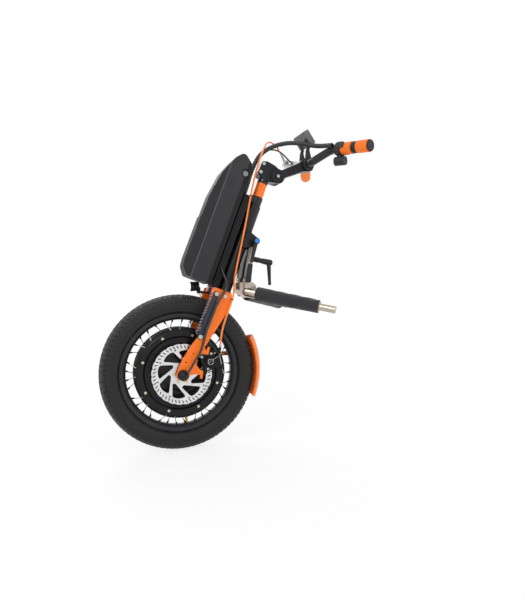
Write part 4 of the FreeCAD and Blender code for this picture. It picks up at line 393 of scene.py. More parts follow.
def banded(name, start_colour, end_colour, way, origin, bands, rubber=False):
    """Two colours in bands along an axis: the second shows inside each (from, to) band."""
    finish = Finish(name, coat=0.0 if rubber else 0.2, specular=0.3)
    distance = finish.along(way, origin)
    mask = None
    for low, high in bands:
        inside = finish.maths("MULTIPLY", finish.maths("GREATER_THAN", distance, low),
                              finish.maths("LESS_THAN", distance, high))
        mask = inside if mask is None else finish.maths("MAXIMUM", mask, inside)
    first = finish.mottle(start_colour, 0.06, 50.0)
    second = finish.mottle(end_colour, 0.1, 50.0)
    finish.paint(finish.blend(mask, first, second))
    if rubber:
        finish.wear(0.5, 0.68)
        finish.bump(finish.noise(2400.0, 3.0), 0.0001, 0.4)
    else:
        finish.wear(0.3, 0.42)
        finish.bump(finish.noise(900.0, 2.0), 0.00006, 0.35)
    return finish.material


# The battery's case in the column's own measures: its bevel, the painted highlight line along it, its
# dark edges and its painted shade
BEVEL_START = -0.1085
BEVEL_HIGHLIGHT_LINE = -0.1068
BACK_EDGE = (-0.064, -0.060)
TOP_EDGE = (0.600, 0.612)
CASE_SHADE = (0.24, 0.56)
WEAVE_RATE = 2400.0


def battery_case(name, charcoal):
    """The battery's case: matte sides painted lighter towards the top as painted shade, a pale
    painted highlight line along the bevel, and a woven front.
    """
    finish = Finish(name, specular=0.22)
    depth = finish.along(COLUMN_BACK, COLUMN_FOOT)
    height = finish.along(COLUMN_UP, COLUMN_FOOT)
    front = finish.maths("LESS_THAN", depth, BEVEL_START)
    # Painted highlight: a pale line along the bevel, where the side meets the woven front
    line = finish.maths("MULTIPLY", finish.maths("LESS_THAN", depth, BEVEL_HIGHLIGHT_LINE),
                        finish.maths("GREATER_THAN", depth, BEVEL_START))
    across = finish.maths("SINE", finish.maths("MULTIPLY", finish.along((1, 0, 0), COLUMN_FOOT),
                                               WEAVE_RATE))
    up = finish.maths("SINE", finish.maths("MULTIPLY", height, WEAVE_RATE))
    weave = finish.maths("MULTIPLY", across, up)
    woven = finish.blend(finish.span(weave, -0.4, 0.4), linear(18, 18, 20), linear(44, 45, 48))
    slope = finish.along(Vector((0, -0.06, 0.99)).normalized(), COLUMN_FOOT)
    rim = finish.maths("MAXIMUM", finish.span(depth, *BACK_EDGE),
                       finish.span(slope, *TOP_EDGE))
    # Painted shade: the sides are painted darker at the bottom and lighter towards the top
    shaded = finish.span(height, *CASE_SHADE)
    side = finish.blend(shaded, tuple(value * 0.86 for value in charcoal),
                        tuple(value * 1.22 for value in charcoal))
    side = finish.blend(finish.span(finish.noise(25.0, 5.0), 0.3, 0.7), side, charcoal)
    side = finish.blend(rim, side, linear(22, 22, 24))
    body = finish.blend(front, side, woven)
    # The painted highlight line along the bevel, in pale grey
    finish.paint(finish.blend(line, body, linear(88, 88, 91)))
    finish.wear(0.46, 0.6, 35.0)
    finish.bump(finish.maths("MULTIPLY", weave, front), 0.0001, 0.5)
    finish.bump(finish.noise(2600.0, 3.0), 0.00008, 0.4)
    return finish.material


def foam_rubber(name):
    """Closed-cell foam: dark charcoal with open pores and a soft sheen."""
    finish = Finish(name, specular=0.25)
    finish.shader.inputs["Sheen Weight"].default_value = 0.35
    finish.shader.inputs["Sheen Roughness"].default_value = 0.5
    pores = finish.cells(900.0)
    dark = linear(28, 28, 30)
    finish.paint(finish.blend(finish.span(pores, 0.1, 0.5), dark, linear(50, 50, 53)))
    finish.wear(0.82, 0.95)
    finish.bump(pores, 0.0004, 0.5)
    return finish.material


def cable_jacket(name, colour, low=0.28, high=0.42):
    """A smooth plastic jacket."""
    finish = Finish(name, coat=0.2)
    finish.paint(finish.mottle(colour, 0.08, 90.0))
    finish.wear(low, high, 120.0)
    finish.bump(finish.noise(1200.0, 3.0), 0.00005, 0.3)
    return finish.material


def lamp_lens(name):
    """The lamp's lens, lit from inside, with a fine prism pattern."""
    finish = Finish(name, coat=0.6)
    prisms = finish.cells(420.0)
    finish.paint(finish.blend(finish.span(prisms, 0.2, 0.6), linear(235, 238, 240),
                              linear(255, 255, 255)))
    finish.wear(0.08, 0.16)
    finish.shader.inputs["Emission Color"].default_value = (1.0, 1.0, 1.0, 1.0)
    finish.shader.inputs["Emission Strength"].default_value = 0.55
    finish.bump(prisms, 0.0003, 0.4)
    return finish.material


def dark_screen(name):
    """The display's dark glass with a faint panel of segments behind it."""
    finish = Finish(name, coat=0.8, specular=0.6)
    fine = finish.noise(160.0, 3.0)
    finish.paint(finish.blend(finish.span(fine, 0.3, 0.7), linear(18, 22, 28), linear(34, 42, 50)))
    finish.wear(0.06, 0.14)
    return finish.material


# Shapes
def make_piece(name, points, faces, material, crease=35.0):
    """A mesh object from points and faces, smooth except at its sharp edges."""
    mesh = bpy.data.meshes.new(name)
    mesh.from_pydata([tuple(point) for point in points], [], faces)
    mesh.validate()
    shape = bmesh.new()
    shape.from_mesh(mesh)
    bmesh.ops.recalc_face_normals(shape, faces=shape.faces)
    shape.to_mesh(mesh)
    shape.free()
    mesh.polygons.foreach_set("use_smooth", [True] * len(mesh.polygons))
    mesh.set_sharp_from_angle(angle=math.radians(crease))
    mesh.materials.append(material)
    piece = bpy.data.objects.new(name, mesh)
    bpy.context.scene.collection.objects.link(piece)
    return piece


def grid_faces(rows, columns, first=0, rows_close=True, columns_close=True):
    """The faces of a sheet of points, joined round where it closes."""
    faces = []
    for row in range(rows if rows_close else rows - 1):
        after = (row + 1) % rows
        for column in range(columns if columns_close else columns - 1):
            beside = (column + 1) % columns
            faces.append((first + row * columns + column, first + row * columns + beside,
                          first + after * columns + beside, first + after * columns + column))
    return faces


def turned_points(foot, way, profile, segments, swell=None):
    """Points of a profile of (along, radius) pairs turned about an axis."""
    way = Vector(way).normalized()
    side = way.orthogonal().normalized()
    up = way.cross(side)
    points = []
    for segment in range(segments):
        angle = math.tau * segment / segments
        out = side * math.cos(angle) + up * math.sin(angle)
        for along, radius in profile:
            grown = radius + (swell(along, angle, radius) if swell else 0.0)
            points.append(Vector(foot) + way * along + out * grown)
    return points


def turned(name, foot, way, profile, segments, material, swell=None, crease=35.0):
    """A ring-shaped piece: a closed profile turned about an axis."""
    points = turned_points(foot, way, profile, segments, swell)
    faces = grid_faces(segments, len(profile))
    return make_piece(name, points, faces, material, crease)


def capped_points(foot, way, profile, segments, first):
    """A solid turned piece with flat ends, as points and faces."""
    points = turned_points(foot, way, profile, segments)
    columns = len(profile)
    faces = grid_faces(segments, columns, first, True, False)
    for column in (0, columns - 1):
        faces.append(tuple(first + segment * columns + column for segment in range(segments)))
    return points, faces


def smooth_route(name, route, step):
    """Points a step apart on the smooth curve that a cord's route gives."""
    curve = bpy.data.curves.new(name, "CURVE")
    curve.dimensions = "3D"
    curve.resolution_u = 20
    spline = curve.splines.new("NURBS")
    spline.points.add(len(route) - 1)
    for point, place in zip(spline.points, route):
        point.co = (*place, 1.0)
    spline.order_u = 3
    spline.use_endpoint_u = True
    holder = bpy.data.objects.new(name, curve)
    bpy.context.scene.collection.objects.link(holder)
    line = bpy.data.meshes.new_from_object(holder)
    points = [vertex.co.copy() for vertex in line.vertices]
    bpy.data.meshes.remove(line)
    bpy.data.objects.remove(holder)
    bpy.data.curves.remove(curve)
    return evenly(points, step)


def evenly(points, step):
    """The same line with its points the same distance apart."""
    reach = [0.0]
    for before, after in zip(points, points[1:]):
        reach.append(reach[-1] + (after - before).length)
    count = max(2, round(reach[-1] / step))
    spaced = []
    at = 0
    for index in range(count + 1):
        wanted = reach[-1] * index / count
        while at < len(points) - 2 and reach[at + 1] < wanted:
            at += 1
        share = (wanted - reach[at]) / max(reach[at + 1] - reach[at], 1e-9)
        spaced.append(points[at].lerp(points[at + 1], share))
    return spaced


def carried_frames(points):
    """For each point of a line its direction, and a side and an up that never twist."""
    frames = []
    side = None
    for index in range(len(points)):
        before = points[max(index - 1, 0)]
        after = points[min(index + 1, len(points) - 1)]
        way = (after - before).normalized()
        side = way.orthogonal() if side is None else side - way * side.dot(way)
        side = side.normalized()
        frames.append((way, side, way.cross(side)))
    return frames


def tube(name, points, radius_at, segments, material):
    """A tube along a line. radius_at gives its radius at a distance along and an angle round."""
    placed = []
    reach = 0.0
    for index, (_, side, up) in enumerate(carried_frames(points)):
        if index:
            reach += (points[index] - points[index - 1]).length
        for segment in range(segments):
            angle = math.tau * segment / segments
            out = side * math.cos(angle) + up * math.sin(angle)
            placed.append(points[index] + out * radius_at(reach, angle))
    faces = grid_faces(len(points), segments, 0, False, True)
    last = (len(points) - 1) * segments
    faces.append(tuple(reversed(range(segments))))
    faces.append(tuple(range(last, last + segments)))
    return make_piece(name, placed, faces, material)


def tie_points(centre, way, radius, head_way):
    """A cable tie round a cord: its band, its head and its cut tail."""
    width = 0.0012
    band = [(-width, radius), (-width, radius + 0.0009), (width, radius + 0.0009), (width, radius)]
    points = turned_points(centre, way, band, 28)
    faces = grid_faces(28, len(band))
    head_way = Vector(head_way)
    head_way = (head_way - Vector(way) * head_way.dot(way)).normalized()
    block = [(0.0, 0.0014), (0.0004, 0.0021), (0.0030, 0.0021), (0.0034, 0.0015)]
    head, head_faces = capped_points(Vector(centre) + head_way * (radius + 0.0004), head_way, block,
                                     4, len(points))
    return points + head, faces + head_faces


def dress(material, *nodes):
    """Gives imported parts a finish."""
    for node in nodes:
        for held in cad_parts[node].material_slots:
            held.material = material


def mirrored(place):
    """The same place on the object's other side."""
    return Vector((-place[0], place[1], place[2]))


# The wheel
TYRE_OUTSIDE = 0.2095
TYRE_SECTION = 0.0285
TYRE_MIDDLE = TYRE_OUTSIDE - TYRE_SECTION
BEAD_HALF = 0.0131
BEAD_SEAT = 0.1520
BEAD_LIP = 0.1598
COLUMNS_PER_BLOCK = 12
TREAD_ROWS = 40
TREAD_HALF_ANGLE = math.radians(66)
TREAD_LOW = 0.1955
TREAD_HIGH = 0.2085
RIM_LIP_HALF = 0.01905
CASING_INSIDE = 0.0243
SIDE_ROWS = 13
SIDE_RINGS = ((74.0, 0.0005), (92.0, 0.0007), (98.0, 0.0004), (121.0, 0.0009), (127.0, 0.0005))


ROTOR_RADIUS = 0.0800
ROTOR_WAVES = 24
ROTOR_WAVE_DEPTH = 0.0014
ROTOR_ARMS = 8
ROTOR_SLOTS = 48
ROTOR_ARM_TURN = 156.0
ROTOR_ARM_HOLE = (0.0655, 149.0, 0.0021)
ROTOR_BOLTS = 6
ROTOR_BOLT_RING = 0.022
ROTOR_BOLT_SIZE = 0.0025
ROTOR_EDGE = 0.00015
ROTOR_WINDOW = ((0.0640, -1.5, 0.005), (0.0660, 14.0, 0.012), (0.0605, 32.0, 0.006),
                (0.0290, -15.0, 0.0035), (0.0350, -24.5, 0.003))
ROTOR_SLOT = ((0.0690, -0.0032, 0.0009), (0.0766, 0.0004, 0.0009), (0.0766, 0.0032, 0.0009),
              (0.0690, -0.0004, 0.0009))


def tread_drop(row, column, depth):
    """How deep the tyre's pattern is at a point of the tread, by its row and column."""
    centre = (TREAD_ROWS - 1) / 2
    off = abs(row - centre)
    side = 1 if row > centre else -1
    wave = column % COLUMNS_PER_BLOCK
    zigzag = 1 if wave < COLUMNS_PER_BLOCK / 2 else 0
    if round(off - zigzag) in (4, 12):
        return depth
    if off > 17.5:
        return depth * (0.1 if column % 6 < 4 else 0.9)
    lane = 0 if off < 4 else (1 if off < 12 else 2)
    shift = round(off * (0.5 if lane != 1 else -0.5)) + lane * 4 + (4 if side > 0 else 0)
    return depth if (column + shift) % COLUMNS_PER_BLOCK < 3 else 0.0


def tyre_section():
    """Rows across the tyre as (x, radius, row of the tread or none)."""
    rows = []
    side_angles = []
    lip_angle = math.pi - math.asin(RIM_LIP_HALF / TYRE_SECTION)
    for index in range(1, SIDE_ROWS + 1):
        share = index / SIDE_ROWS
        side_angles.append(TREAD_HALF_ANGLE + (lip_angle - TREAD_HALF_ANGLE) * share)
    ringed = sorted(side_angles[:-1] + [math.radians(a + d) for a, _ in SIDE_RINGS
                                        for d in (-1.6, 0.0, 1.6)]) + side_angles[-1:]
    outer = [(-angle, None) for angle in reversed(ringed)]
    for row in range(TREAD_ROWS):
        share = row / (TREAD_ROWS - 1)
        outer.append((TREAD_HALF_ANGLE * (2 * share - 1), row))
    outer += [(angle, None) for angle in ringed]
    for angle, row in outer:
        height = 0.0
        for at, rise in SIDE_RINGS:
            if abs(math.degrees(abs(angle)) - at) < 0.3:
                height = rise
        radius = TYRE_SECTION + height - 0.0004
        rows.append((radius * math.sin(angle), TYRE_MIDDLE + radius * math.cos(angle), row))
    throat = BEAD_HALF - 0.0042
    half = [(BEAD_HALF, BEAD_LIP), (BEAD_HALF, BEAD_SEAT), (throat, BEAD_SEAT), (throat, 0.1576),
            (0.0146, 0.1616)]
    rows += [(x, radius, None) for x, radius in half]
    for index in range(1, 10):
        angle = math.radians(143.0 * (1 - index / 5))
        rows.append((CASING_INSIDE * math.sin(angle),
                     TYRE_MIDDLE + CASING_INSIDE * math.cos(angle), None))
    rows += [(-x, radius, None) for x, radius in reversed(half)]
    return rows


def make_tyre(sizes, rubber):
    """The tyre with its cut tread, moulded sidewall rings and beads inside the rim's hooks."""
    depth = sizes.tread_depth
    section = tyre_section()
    count = sizes.tread_blocks * COLUMNS_PER_BLOCK
    points = []
    for column in range(count):
        angle = math.tau * column / count
        for x, radius, row in section:
            drop = 0.0 if row is None else tread_drop(row, column, depth)
            lean = x * drop / max(radius, 1e-6)
            out = radius - drop
            points.append((x - lean, -out * math.sin(angle),
                           WHEEL_CENTRE.z + out * math.cos(angle)))
    faces = grid_faces(count, len(section))
    piece = make_piece("tyre_tread", points, faces, rubber, 50.0)
    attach(piece, "wheel")
    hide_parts("tyre")


def softened(corners):
    """A flat outline whose corners, (x, y, reach of the rounding), are rounded."""
    line = []
    for index, (x, y, reach) in enumerate(corners):
        corner = Vector((x, y))
        before = Vector(corners[index - 1][:2])
        after = Vector(corners[(index + 1) % len(corners)][:2])
        start = corner + (before - corner).normalized() * reach
        end = corner + (after - corner).normalized() * reach
        for step in range(7):
            share = step / 6
            line.append(start * (1 - share) ** 2 + corner * 2 * share * (1 - share)
                        + end * share ** 2)
    return line


def turned_flat(line, degrees):
    """A flat outline turned about the origin."""
    turn = Matrix.Rotation(math.radians(degrees), 2)
    return [turn @ point for point in line]


def polar_corner(radius, degrees, reach):
    """A corner given by its distance from the centre and its direction."""
    angle = math.radians(degrees)
    return (radius * math.cos(angle), radius * math.sin(angle), reach)


def round_hole(radius, degrees, size):
    """The outline of a round hole at a distance and direction from the centre."""
    centre = Vector(polar_corner(radius, degrees, 0)[:2])
    return [centre + Vector((math.cos(math.tau * step / 14), math.sin(math.tau * step / 14))) * size
            for step in range(14)]


def make_rotor(steel):
    """The brake disc: a waved rim with slanted slots, swept arms and large windows."""
    low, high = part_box("brake_rotor")
    bore = min(math.hypot(vertex.co.y, vertex.co.z - WHEEL_CENTRE.z)
               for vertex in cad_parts["brake_rotor"].data.vertices)
    rim = []
    for step in range(ROTOR_WAVES * 14):
        angle = math.tau * step / (ROTOR_WAVES * 14)
        wave = max(0.0, math.cos(ROTOR_WAVES * angle)) ** 1.5
        radius = ROTOR_RADIUS - ROTOR_WAVE_DEPTH * wave
        rim.append(Vector((radius * math.cos(angle), radius * math.sin(angle))))
    lines = [rim, round_hole(0.0, 0.0, bore)]
    window = softened([polar_corner(*corner) for corner in ROTOR_WINDOW])
    slot = softened(ROTOR_SLOT)
    for arm in range(ROTOR_ARMS):
        turn = 360.0 / ROTOR_ARMS * arm
        lines.append(turned_flat(window, turn + ROTOR_ARM_TURN))
        reach, degrees, size = ROTOR_ARM_HOLE
        lines.append(round_hole(reach, turn + degrees, size))
    for index in range(ROTOR_SLOTS):
        lines.append(turned_flat(slot, 360.0 / ROTOR_SLOTS * index))
    for index in range(ROTOR_BOLTS):
        lines.append(round_hole(ROTOR_BOLT_RING, 360.0 / ROTOR_BOLTS * index, ROTOR_BOLT_SIZE))
    curve = bpy.data.curves.new("rotor_outline", "CURVE")
    curve.dimensions = "2D"
    curve.fill_mode = "BOTH"
    curve.extrude = (high.x - low.x) / 2 - ROTOR_EDGE
    curve.bevel_depth = ROTOR_EDGE
    curve.offset = -ROTOR_EDGE
    for line in lines:
        spline = curve.splines.new("POLY")
        spline.points.add(len(line) - 1)
        for point, place in zip(spline.points, line):
            point.co = (place.x, place.y, 0.0, 1.0)
        spline.use_cyclic_u = True
    holder = bpy.data.objects.new("rotor_outline", curve)
    bpy.context.scene.collection.objects.link(holder)
    flat = bpy.data.meshes.new_from_object(holder)
    middle = (low.x + high.x) / 2
    points = [(middle + vertex.co.z, WHEEL_CENTRE.y + vertex.co.x, WHEEL_CENTRE.z + vertex.co.y)
              for vertex in flat.vertices]
    faces = [tuple(face.vertices) for face in flat.polygons]
    bpy.data.meshes.remove(flat)
    bpy.data.objects.remove(holder)
    bpy.data.curves.remove(curve)
    piece = make_piece("rotor_disc", points, faces, steel, 25.0)
    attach(piece, "wheel")
    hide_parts("brake_rotor")


def make_hub_rings(height, black):
    """Turned ridges on both covers of the motor."""
    points = []
    faces = []
    for side in (1, -1):
        for radius, base in ((0.0995, 0.0232), (0.0885, 0.0194), (0.0760, 0.0197)):
            ridge = [(base, radius - 0.0009), (base + height * 0.8, radius - 0.0005),
                     (base + height, radius), (base + height * 0.8, radius + 0.0005),
                     (base, radius + 0.0009)]
            faces += grid_faces(160, len(ridge), len(points))
            points += turned_points(WHEEL_CENTRE, (side, 0, 0), ridge, 160)
    piece = make_piece("hub_rings", points, faces, black, 60.0)
    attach(piece, "wheel")


class POWERASSIST_OT_wheel(Operator):
    """Makes the tyre and hub rings and finishes the wheel"""
    bl_idname = "powerassist.wheel"
    bl_label = "Wheel"

    def execute(self, context):
        sizes = context.scene.assist_wheel
        colours = context.scene.assist_colours
        black = turned_black("hub_black", colours.black)
        make_tyre(sizes, tyre_rubber("tyre_black"))
        make_hub_rings(sizes.ring_height, black)
        dress(satin_black("rim_black", linear(48, 46, 50), 0.3, 0.26, 0.4), "wheel_rim")
        dress(spoke_steel("spoke_steel", linear(205, 200, 186), linear(30, 30, 32)), "spokes")
        dress(brushed("valve_brass", linear(190, 160, 70), (1, 1, 1)), "valve")
        dress(black, "hub_shell", "hub_covers")
        make_rotor(turned_steel("rotor_steel", linear(222, 221, 222)))
        dress(brushed("bright_screws", linear(214, 206, 180), (1, 1, 1), 0.2, 0.3), "wheel_screws",
              "hub_bearings")
        dress(satin_black("magnet_iron", linear(72, 72, 76), 0.8), "magnet_ring")
        return {"FINISHED"}


# The fork and what it carries
CALIPER_OUT = Vector((0.0, math.cos(math.radians(24.0)), math.sin(math.radians(24.0))))
CALIPER_UP = Vector((0.0, -CALIPER_OUT.z, CALIPER_OUT.y))


CALIPER_FACE = 0.0149
CALIPER_SCREWS = ((0.0905, -0.0150), (0.0900, 0.0160), (0.0650, -0.0165), (0.0640, 0.0195))
SPRING_FOOT = 0.0262
SPRING_RADIUS = 0.0072
SPRING_HEIGHT = 0.0044
SPRING_WIRE = 0.0006
ARM_PIVOT_OUT = 0.078


def socket_head(foot, way, radius, height):
    """A socket-head screw: its rounded head and the hollow in its top, as points and faces."""
    profile = [(0.0, radius * 0.2), (0.0, radius), (height * 0.8, radius), (height, radius * 0.86),
               (height, radius * 0.52), (height * 0.45, radius * 0.48), (height * 0.45, radius * 0.1)]
    return turned_points(foot, way, profile, 20), grid_faces(20, len(profile))


def make_screws(name, places, radius, height, material, body):
    """Socket-head screws that look to the object's left, as one piece."""
    points = []
    faces = []
    for foot in places:
        made, sides = socket_head(foot, (1, 0, 0), radius, height)
        faces += [tuple(len(points) + index for index in side) for side in sides]
        points += made
    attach(make_piece(name, points, faces, material), body)


def make_caliper_trim(steel):
    """The brake's screws and the spring that pulls its arm back."""
    low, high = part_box("brake_rotor")
    middle = (low.x + high.x) / 2

    def spot(out, up, x):
        return WHEEL_CENTRE + CALIPER_OUT * out + CALIPER_UP * up + Vector((middle + x, 0, 0))
    make_screws("caliper_screws", [spot(out, up, CALIPER_FACE) for out, up in CALIPER_SCREWS],
                0.0036, 0.0030, steel, "fork")
    line = [spot(ARM_PIVOT_OUT + SPRING_RADIUS * math.cos(math.tau * step / 24),
                 SPRING_RADIUS * math.sin(math.tau * step / 24),
                 SPRING_FOOT + SPRING_HEIGHT * step / 84) for step in range(85)]
    line.append(spot(0.1020, 0.0040, SPRING_FOOT + 0.0030))
    spring = tube("caliper_spring", line, plain_radius(SPRING_WIRE), 8, steel)
    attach(spring, "brake_arm")


class POWERASSIST_OT_fork(Operator):
    """Finishes the fork, crown, links, brake, mudguard and axle"""
    bl_idname = "powerassist.fork"
    bl_label = "Fork"

    def execute(self, context):
        colours = context.scene.assist_colours
        orange = gloss_paint("fork_orange", colours.orange)
        black = satin_black("part_black", colours.black)
        steel = brushed("bolt_steel", linear(208, 204, 196), (1, 1, 1), 0.2, 0.3)
        dress(orange, "fork_blade_left", "fork_blade_right", "fork_crown")
        dress(cable_jacket("guard_orange", colours.orange, 0.2, 0.3), "mudguard")
        dress(satin_black("link_blue_grey", linear(58, 63, 74), 0.4), "link_bars")
        dress(brushed("spring_steel", linear(176, 178, 186), (1, 1, 1)), "link_springs")
        dress(steel, "fork_bolts")
        dress(turned_steel("axle_steel", linear(120, 122, 126)), "axle", "steerer")
        dress(satin_black("nut_black", linear(24, 24, 26), 0.2, 0.12, 0.24), "axle_nuts")
        dress(black, "brake_caliper", "brake_arm")
        make_caliper_trim(steel)
        dress(brushed("stator_copper", linear(168, 106, 62), (1, 1, 1)), "motor_stator")
        dress(moulded_black("bracket_black", colours.black), "headlight_bracket",
              "headlight_body")
        dress(lamp_lens("lamp_lens"), "headlight_lens")
        return {"FINISHED"}


# The column and the battery
class POWERASSIST_OT_column(Operator):
    """Finishes the column, its collars, the controller and the battery"""
    bl_idname = "powerassist.column"
    bl_label = "Column and battery"

    def execute(self, context):
        colours = context.scene.assist_colours
        collars = banded("collar_paint", linear(18, 18, 20), colours.orange, COLUMN_UP,
                         COLUMN_FOOT, ((0.511, 0.551),))
        dress(collars, "column_collars")
        dress(gloss_paint("column_black", linear(20, 20, 22), 0.12), "head_tube", "slide_bar")
        dress(satin_black("controller_black", linear(40, 40, 43), 0.45), "controller_case")
        dress(battery_case("battery_charcoal", colours.charcoal), "battery_lower",
              "battery_upper")
        dress(brushed("lock_steel", linear(150, 150, 154), (1, 1, 1)), "battery_lock")
        return {"FINISHED"}


# The stem, the bar and the grips
def knurl(pitch, height, middle):
    """Ridges that cross in diamonds, with a shallow ring at the middle of the grip."""
    turns = 30

    def swell(along, angle, radius):
        if radius < 0.0158:
            return 0.0
        first = math.cos(math.tau * along / pitch + turns * angle)
        second = math.cos(math.tau * along / pitch - turns * angle)
        ring = math.exp(-((along - middle) / 0.0012) ** 2)
        return height * (0.5 * max(first, 0.0) * max(second, 0.0) + 0.5) * (1 - ring)
    return swell


def make_knurl(name, start, end, rubber, sizes, body, across=1):
    """The knurled skin of one length of a grip."""
    base = 0.01585
    steps = max(8, round((end - start) / (sizes.knurl_pitch / 5)))
    outer = [(start + (end - start) * step / steps, base) for step in range(steps + 1)]
    profile = [(start, 0.0155), (start, 0.01575)] + outer + [(end, 0.01575), (end, 0.0155)]
    foot = GRIP_FOOT if across > 0 else mirrored(GRIP_FOOT)
    way = GRIP_WAY if across > 0 else mirrored(GRIP_WAY)
    swell = knurl(sizes.knurl_pitch, sizes.knurl_height, (start + end) / 2)
    piece = turned(name, foot, way, profile, 150, rubber, swell, 60.0)
    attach(piece, body)
    return piece


def make_pivot_trim(grey, steel):
    """The toothed ring and the bright screw on the stem's pivot."""
    face = 0.0194
    points = []
    faces = []
    for side in (1, -1):
        foot = STEM_PIVOT + Vector((side * face, 0, 0))
        ring = [(0.0, 0.0116), (0.0012, 0.0120), (0.0014, 0.0128), (0.0014, 0.0162),
                (0.0012, 0.0170), (0.0, 0.0174)]

        def teeth(along, angle, radius):
            return 0.0 if along < 0.001 else 0.0004 * math.cos(36 * angle)
        faces += grid_faces(216, len(ring), len(points))
        points += turned_points(foot, (side, 0, 0), ring, 216, teeth)
    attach(make_piece("pivot_rings", points, faces, grey, 30.0), "stem")
    make_screws("pivot_screw", [STEM_PIVOT + Vector((face + 0.0012, 0, 0))], 0.0042, 0.0034, steel,
                "stem")


class POWERASSIST_OT_bar(Operator):
    """Makes the grips' knurling and finishes the stem, the bar and the controls"""
    bl_idname = "powerassist.bar"
    bl_label = "Stem and handlebar"

    def execute(self, context):
        colours = context.scene.assist_colours
        sizes = context.scene.assist_grips
        stem_grey = satin_black("stem_grey", linear(42, 43, 47), 0.6, 0.2, 0.3)
        dress(stem_grey, "stem_base", "stem_arm", "bar_clamp")
        make_pivot_trim(stem_grey, brushed("screw_steel", linear(222, 220, 214), (1, 1, 1)))
        dress(gloss_paint("bar_black", linear(32, 32, 35), 0.2), "handlebar")
        rubber = banded("grip_orange", colours.grip_orange, linear(38, 40, 44), GRIP_WAY,
                        GRIP_FOOT, ((0.0, 0.0522), (0.0890, 0.2)), True)
        right = banded("grip_orange_right", colours.grip_orange, linear(38, 40, 44),
                       mirrored(GRIP_WAY), mirrored(GRIP_FOOT), ((0.0890, 0.2),), True)
        plain = banded("knurl_orange", colours.grip_orange, linear(38, 40, 44), GRIP_WAY,
                       GRIP_FOOT, ((0.2, 0.3),), True)
        dress(rubber, "grip_left")
        dress(right, "grip_right")
        dress(plain, "throttle_sleeve")
        make_knurl("knurl_left", 0.0530, 0.0886, plain, sizes, "stem")
        make_knurl("knurl_throttle", 0.0020, 0.0355, plain, sizes, "throttle")
        make_knurl("knurl_right", -0.0130, 0.0886, plain, sizes, "stem", -1)
        plastic = moulded_black("control_black", linear(48, 48, 52))
        dress(plastic, "throttle_housing", "horn_button", "display_bracket")
        dress(moulded_black("display_grey", linear(112, 110, 114), 0.4, 0.55), "display_case")
        dress(dark_screen("display_glass"), "display_screen")
        dress(brushed("lever_silver", linear(206, 205, 206), (1, 1, 1), 0.26, 0.36),
              "brake_perch", "brake_lever")
        return {"FINISHED"}


# The cords
def plain_radius(radius):
    def at(reach, angle):
        return radius
    return at


def wrapped_radius(radius, pitch):
    """The loom's spiral wrap: a groove that runs round once in each pitch."""
    def at(reach, angle):
        turn = reach / pitch - angle / math.tau
        near = abs(turn - round(turn))
        return radius - 0.0013 * math.exp(-((near / 0.12) ** 2)) + 0.0001
    return at


class POWERASSIST_OT_cords(Operator):
    """Makes the brake cable, the wrapped loom, its branch, the motor's cable and their ties"""
    bl_idname = "powerassist.cords"
    bl_label = "Cords"

    def execute(self, context):
        sizes = context.scene.assist_cords
        orange = cable_jacket("cable_orange", linear(255, 132, 48))
        black = cable_jacket("cable_black", linear(30, 31, 34), 0.34, 0.48)
        steel = brushed("ferrule_steel", linear(190, 190, 194), (1, 1, 1))

        brake_line = smooth_route("brake_route", BRAKE_ROUTE, 0.003)
        brake = tube("brake_cable_run", brake_line, plain_radius(sizes.brake_radius), 20, orange)
        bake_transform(brake)
        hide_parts("brake_cable")

        loom_line = smooth_route("loom_route", LOOM_ROUTE, 0.0011)
        loom = tube("loom_run", loom_line, wrapped_radius(sizes.loom_radius, sizes.wrap_pitch), 32,
                    black)
        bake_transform(loom)
        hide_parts("loom_conduit")
        branch_line = smooth_route("branch_route", BRANCH_ROUTE, 0.003)
        branch = tube("branch_run", branch_line, plain_radius(sizes.branch_radius), 16, black)
        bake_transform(branch)
        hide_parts("loom_conduit")

        motor_line = smooth_route("motor_route", MOTOR_ROUTE, 0.003)
        motor = tube("motor_cable_run", motor_line, plain_radius(sizes.motor_radius), 20, black)
        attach(motor, "fork")
        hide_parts("motor_cable")

        self.ferrules(brake_line, sizes.brake_radius, steel)
        self.ties(brake_line, motor_line, sizes, black)
        wire_line = [Vector((0.0620, 0.0975, 0.2640)), Vector((0.0652, 0.0992, 0.2450)),
                     Vector((0.0690, 0.1026, 0.2260)), Vector((0.0700, 0.1060, 0.2060))]
        wire = tube("brake_inner_wire", evenly(wire_line, 0.002), plain_radius(0.0008), 8, steel)
        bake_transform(wire)
        return {"FINISHED"}

    def ferrules(self, line, radius, steel):
        """The metal end sleeves of the brake cable."""
        for name, near, far, body in (("ferrule_upper", line[0], line[3], "stem"),
                                      ("ferrule_lower", line[-1], line[-4], "fork")):
            way = (far - near).normalized()
            profile = [(0.0, radius), (0.0, radius + 0.0007), (0.0004, radius + 0.0009),
                       (0.0078, radius + 0.0009), (0.0084, radius + 0.0005), (0.0084, radius)]
            piece = turned(name, near, way, profile, 28, steel)
            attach(piece, body)

    def ties(self, brake_line, motor_line, sizes, black):
        """Cable ties on the brake cable and the motor's cable."""
        wanted = (("tie_column", brake_line, Vector((0.0324, 0.2074, 0.684)), sizes.brake_radius,
                   (-1, 0.2, 0)),
                  ("tie_crown", brake_line, Vector((0.068, 0.136, 0.401)), sizes.brake_radius,
                   (-1, 0, 0.3)),
                  ("tie_motor_upper", motor_line, Vector((0.076, 0.0935, 0.394)),
                   sizes.motor_radius, (-1, 0, 0)),
                  ("tie_motor_lower", motor_line, Vector((0.076, 0.0605, 0.321)),
                   sizes.motor_radius, (-1, 0, 0)))
        for name, line, near, radius, head_way in wanted:
            at = min(range(1, len(line) - 1), key=lambda index: (line[index] - near).length)
            way = (line[at + 1] - line[at - 1]).normalized()
            points, faces = tie_points(line[at], way, radius + 0.0001, head_way)
            piece = make_piece(name, points, faces, black)
            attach(piece, "fork")


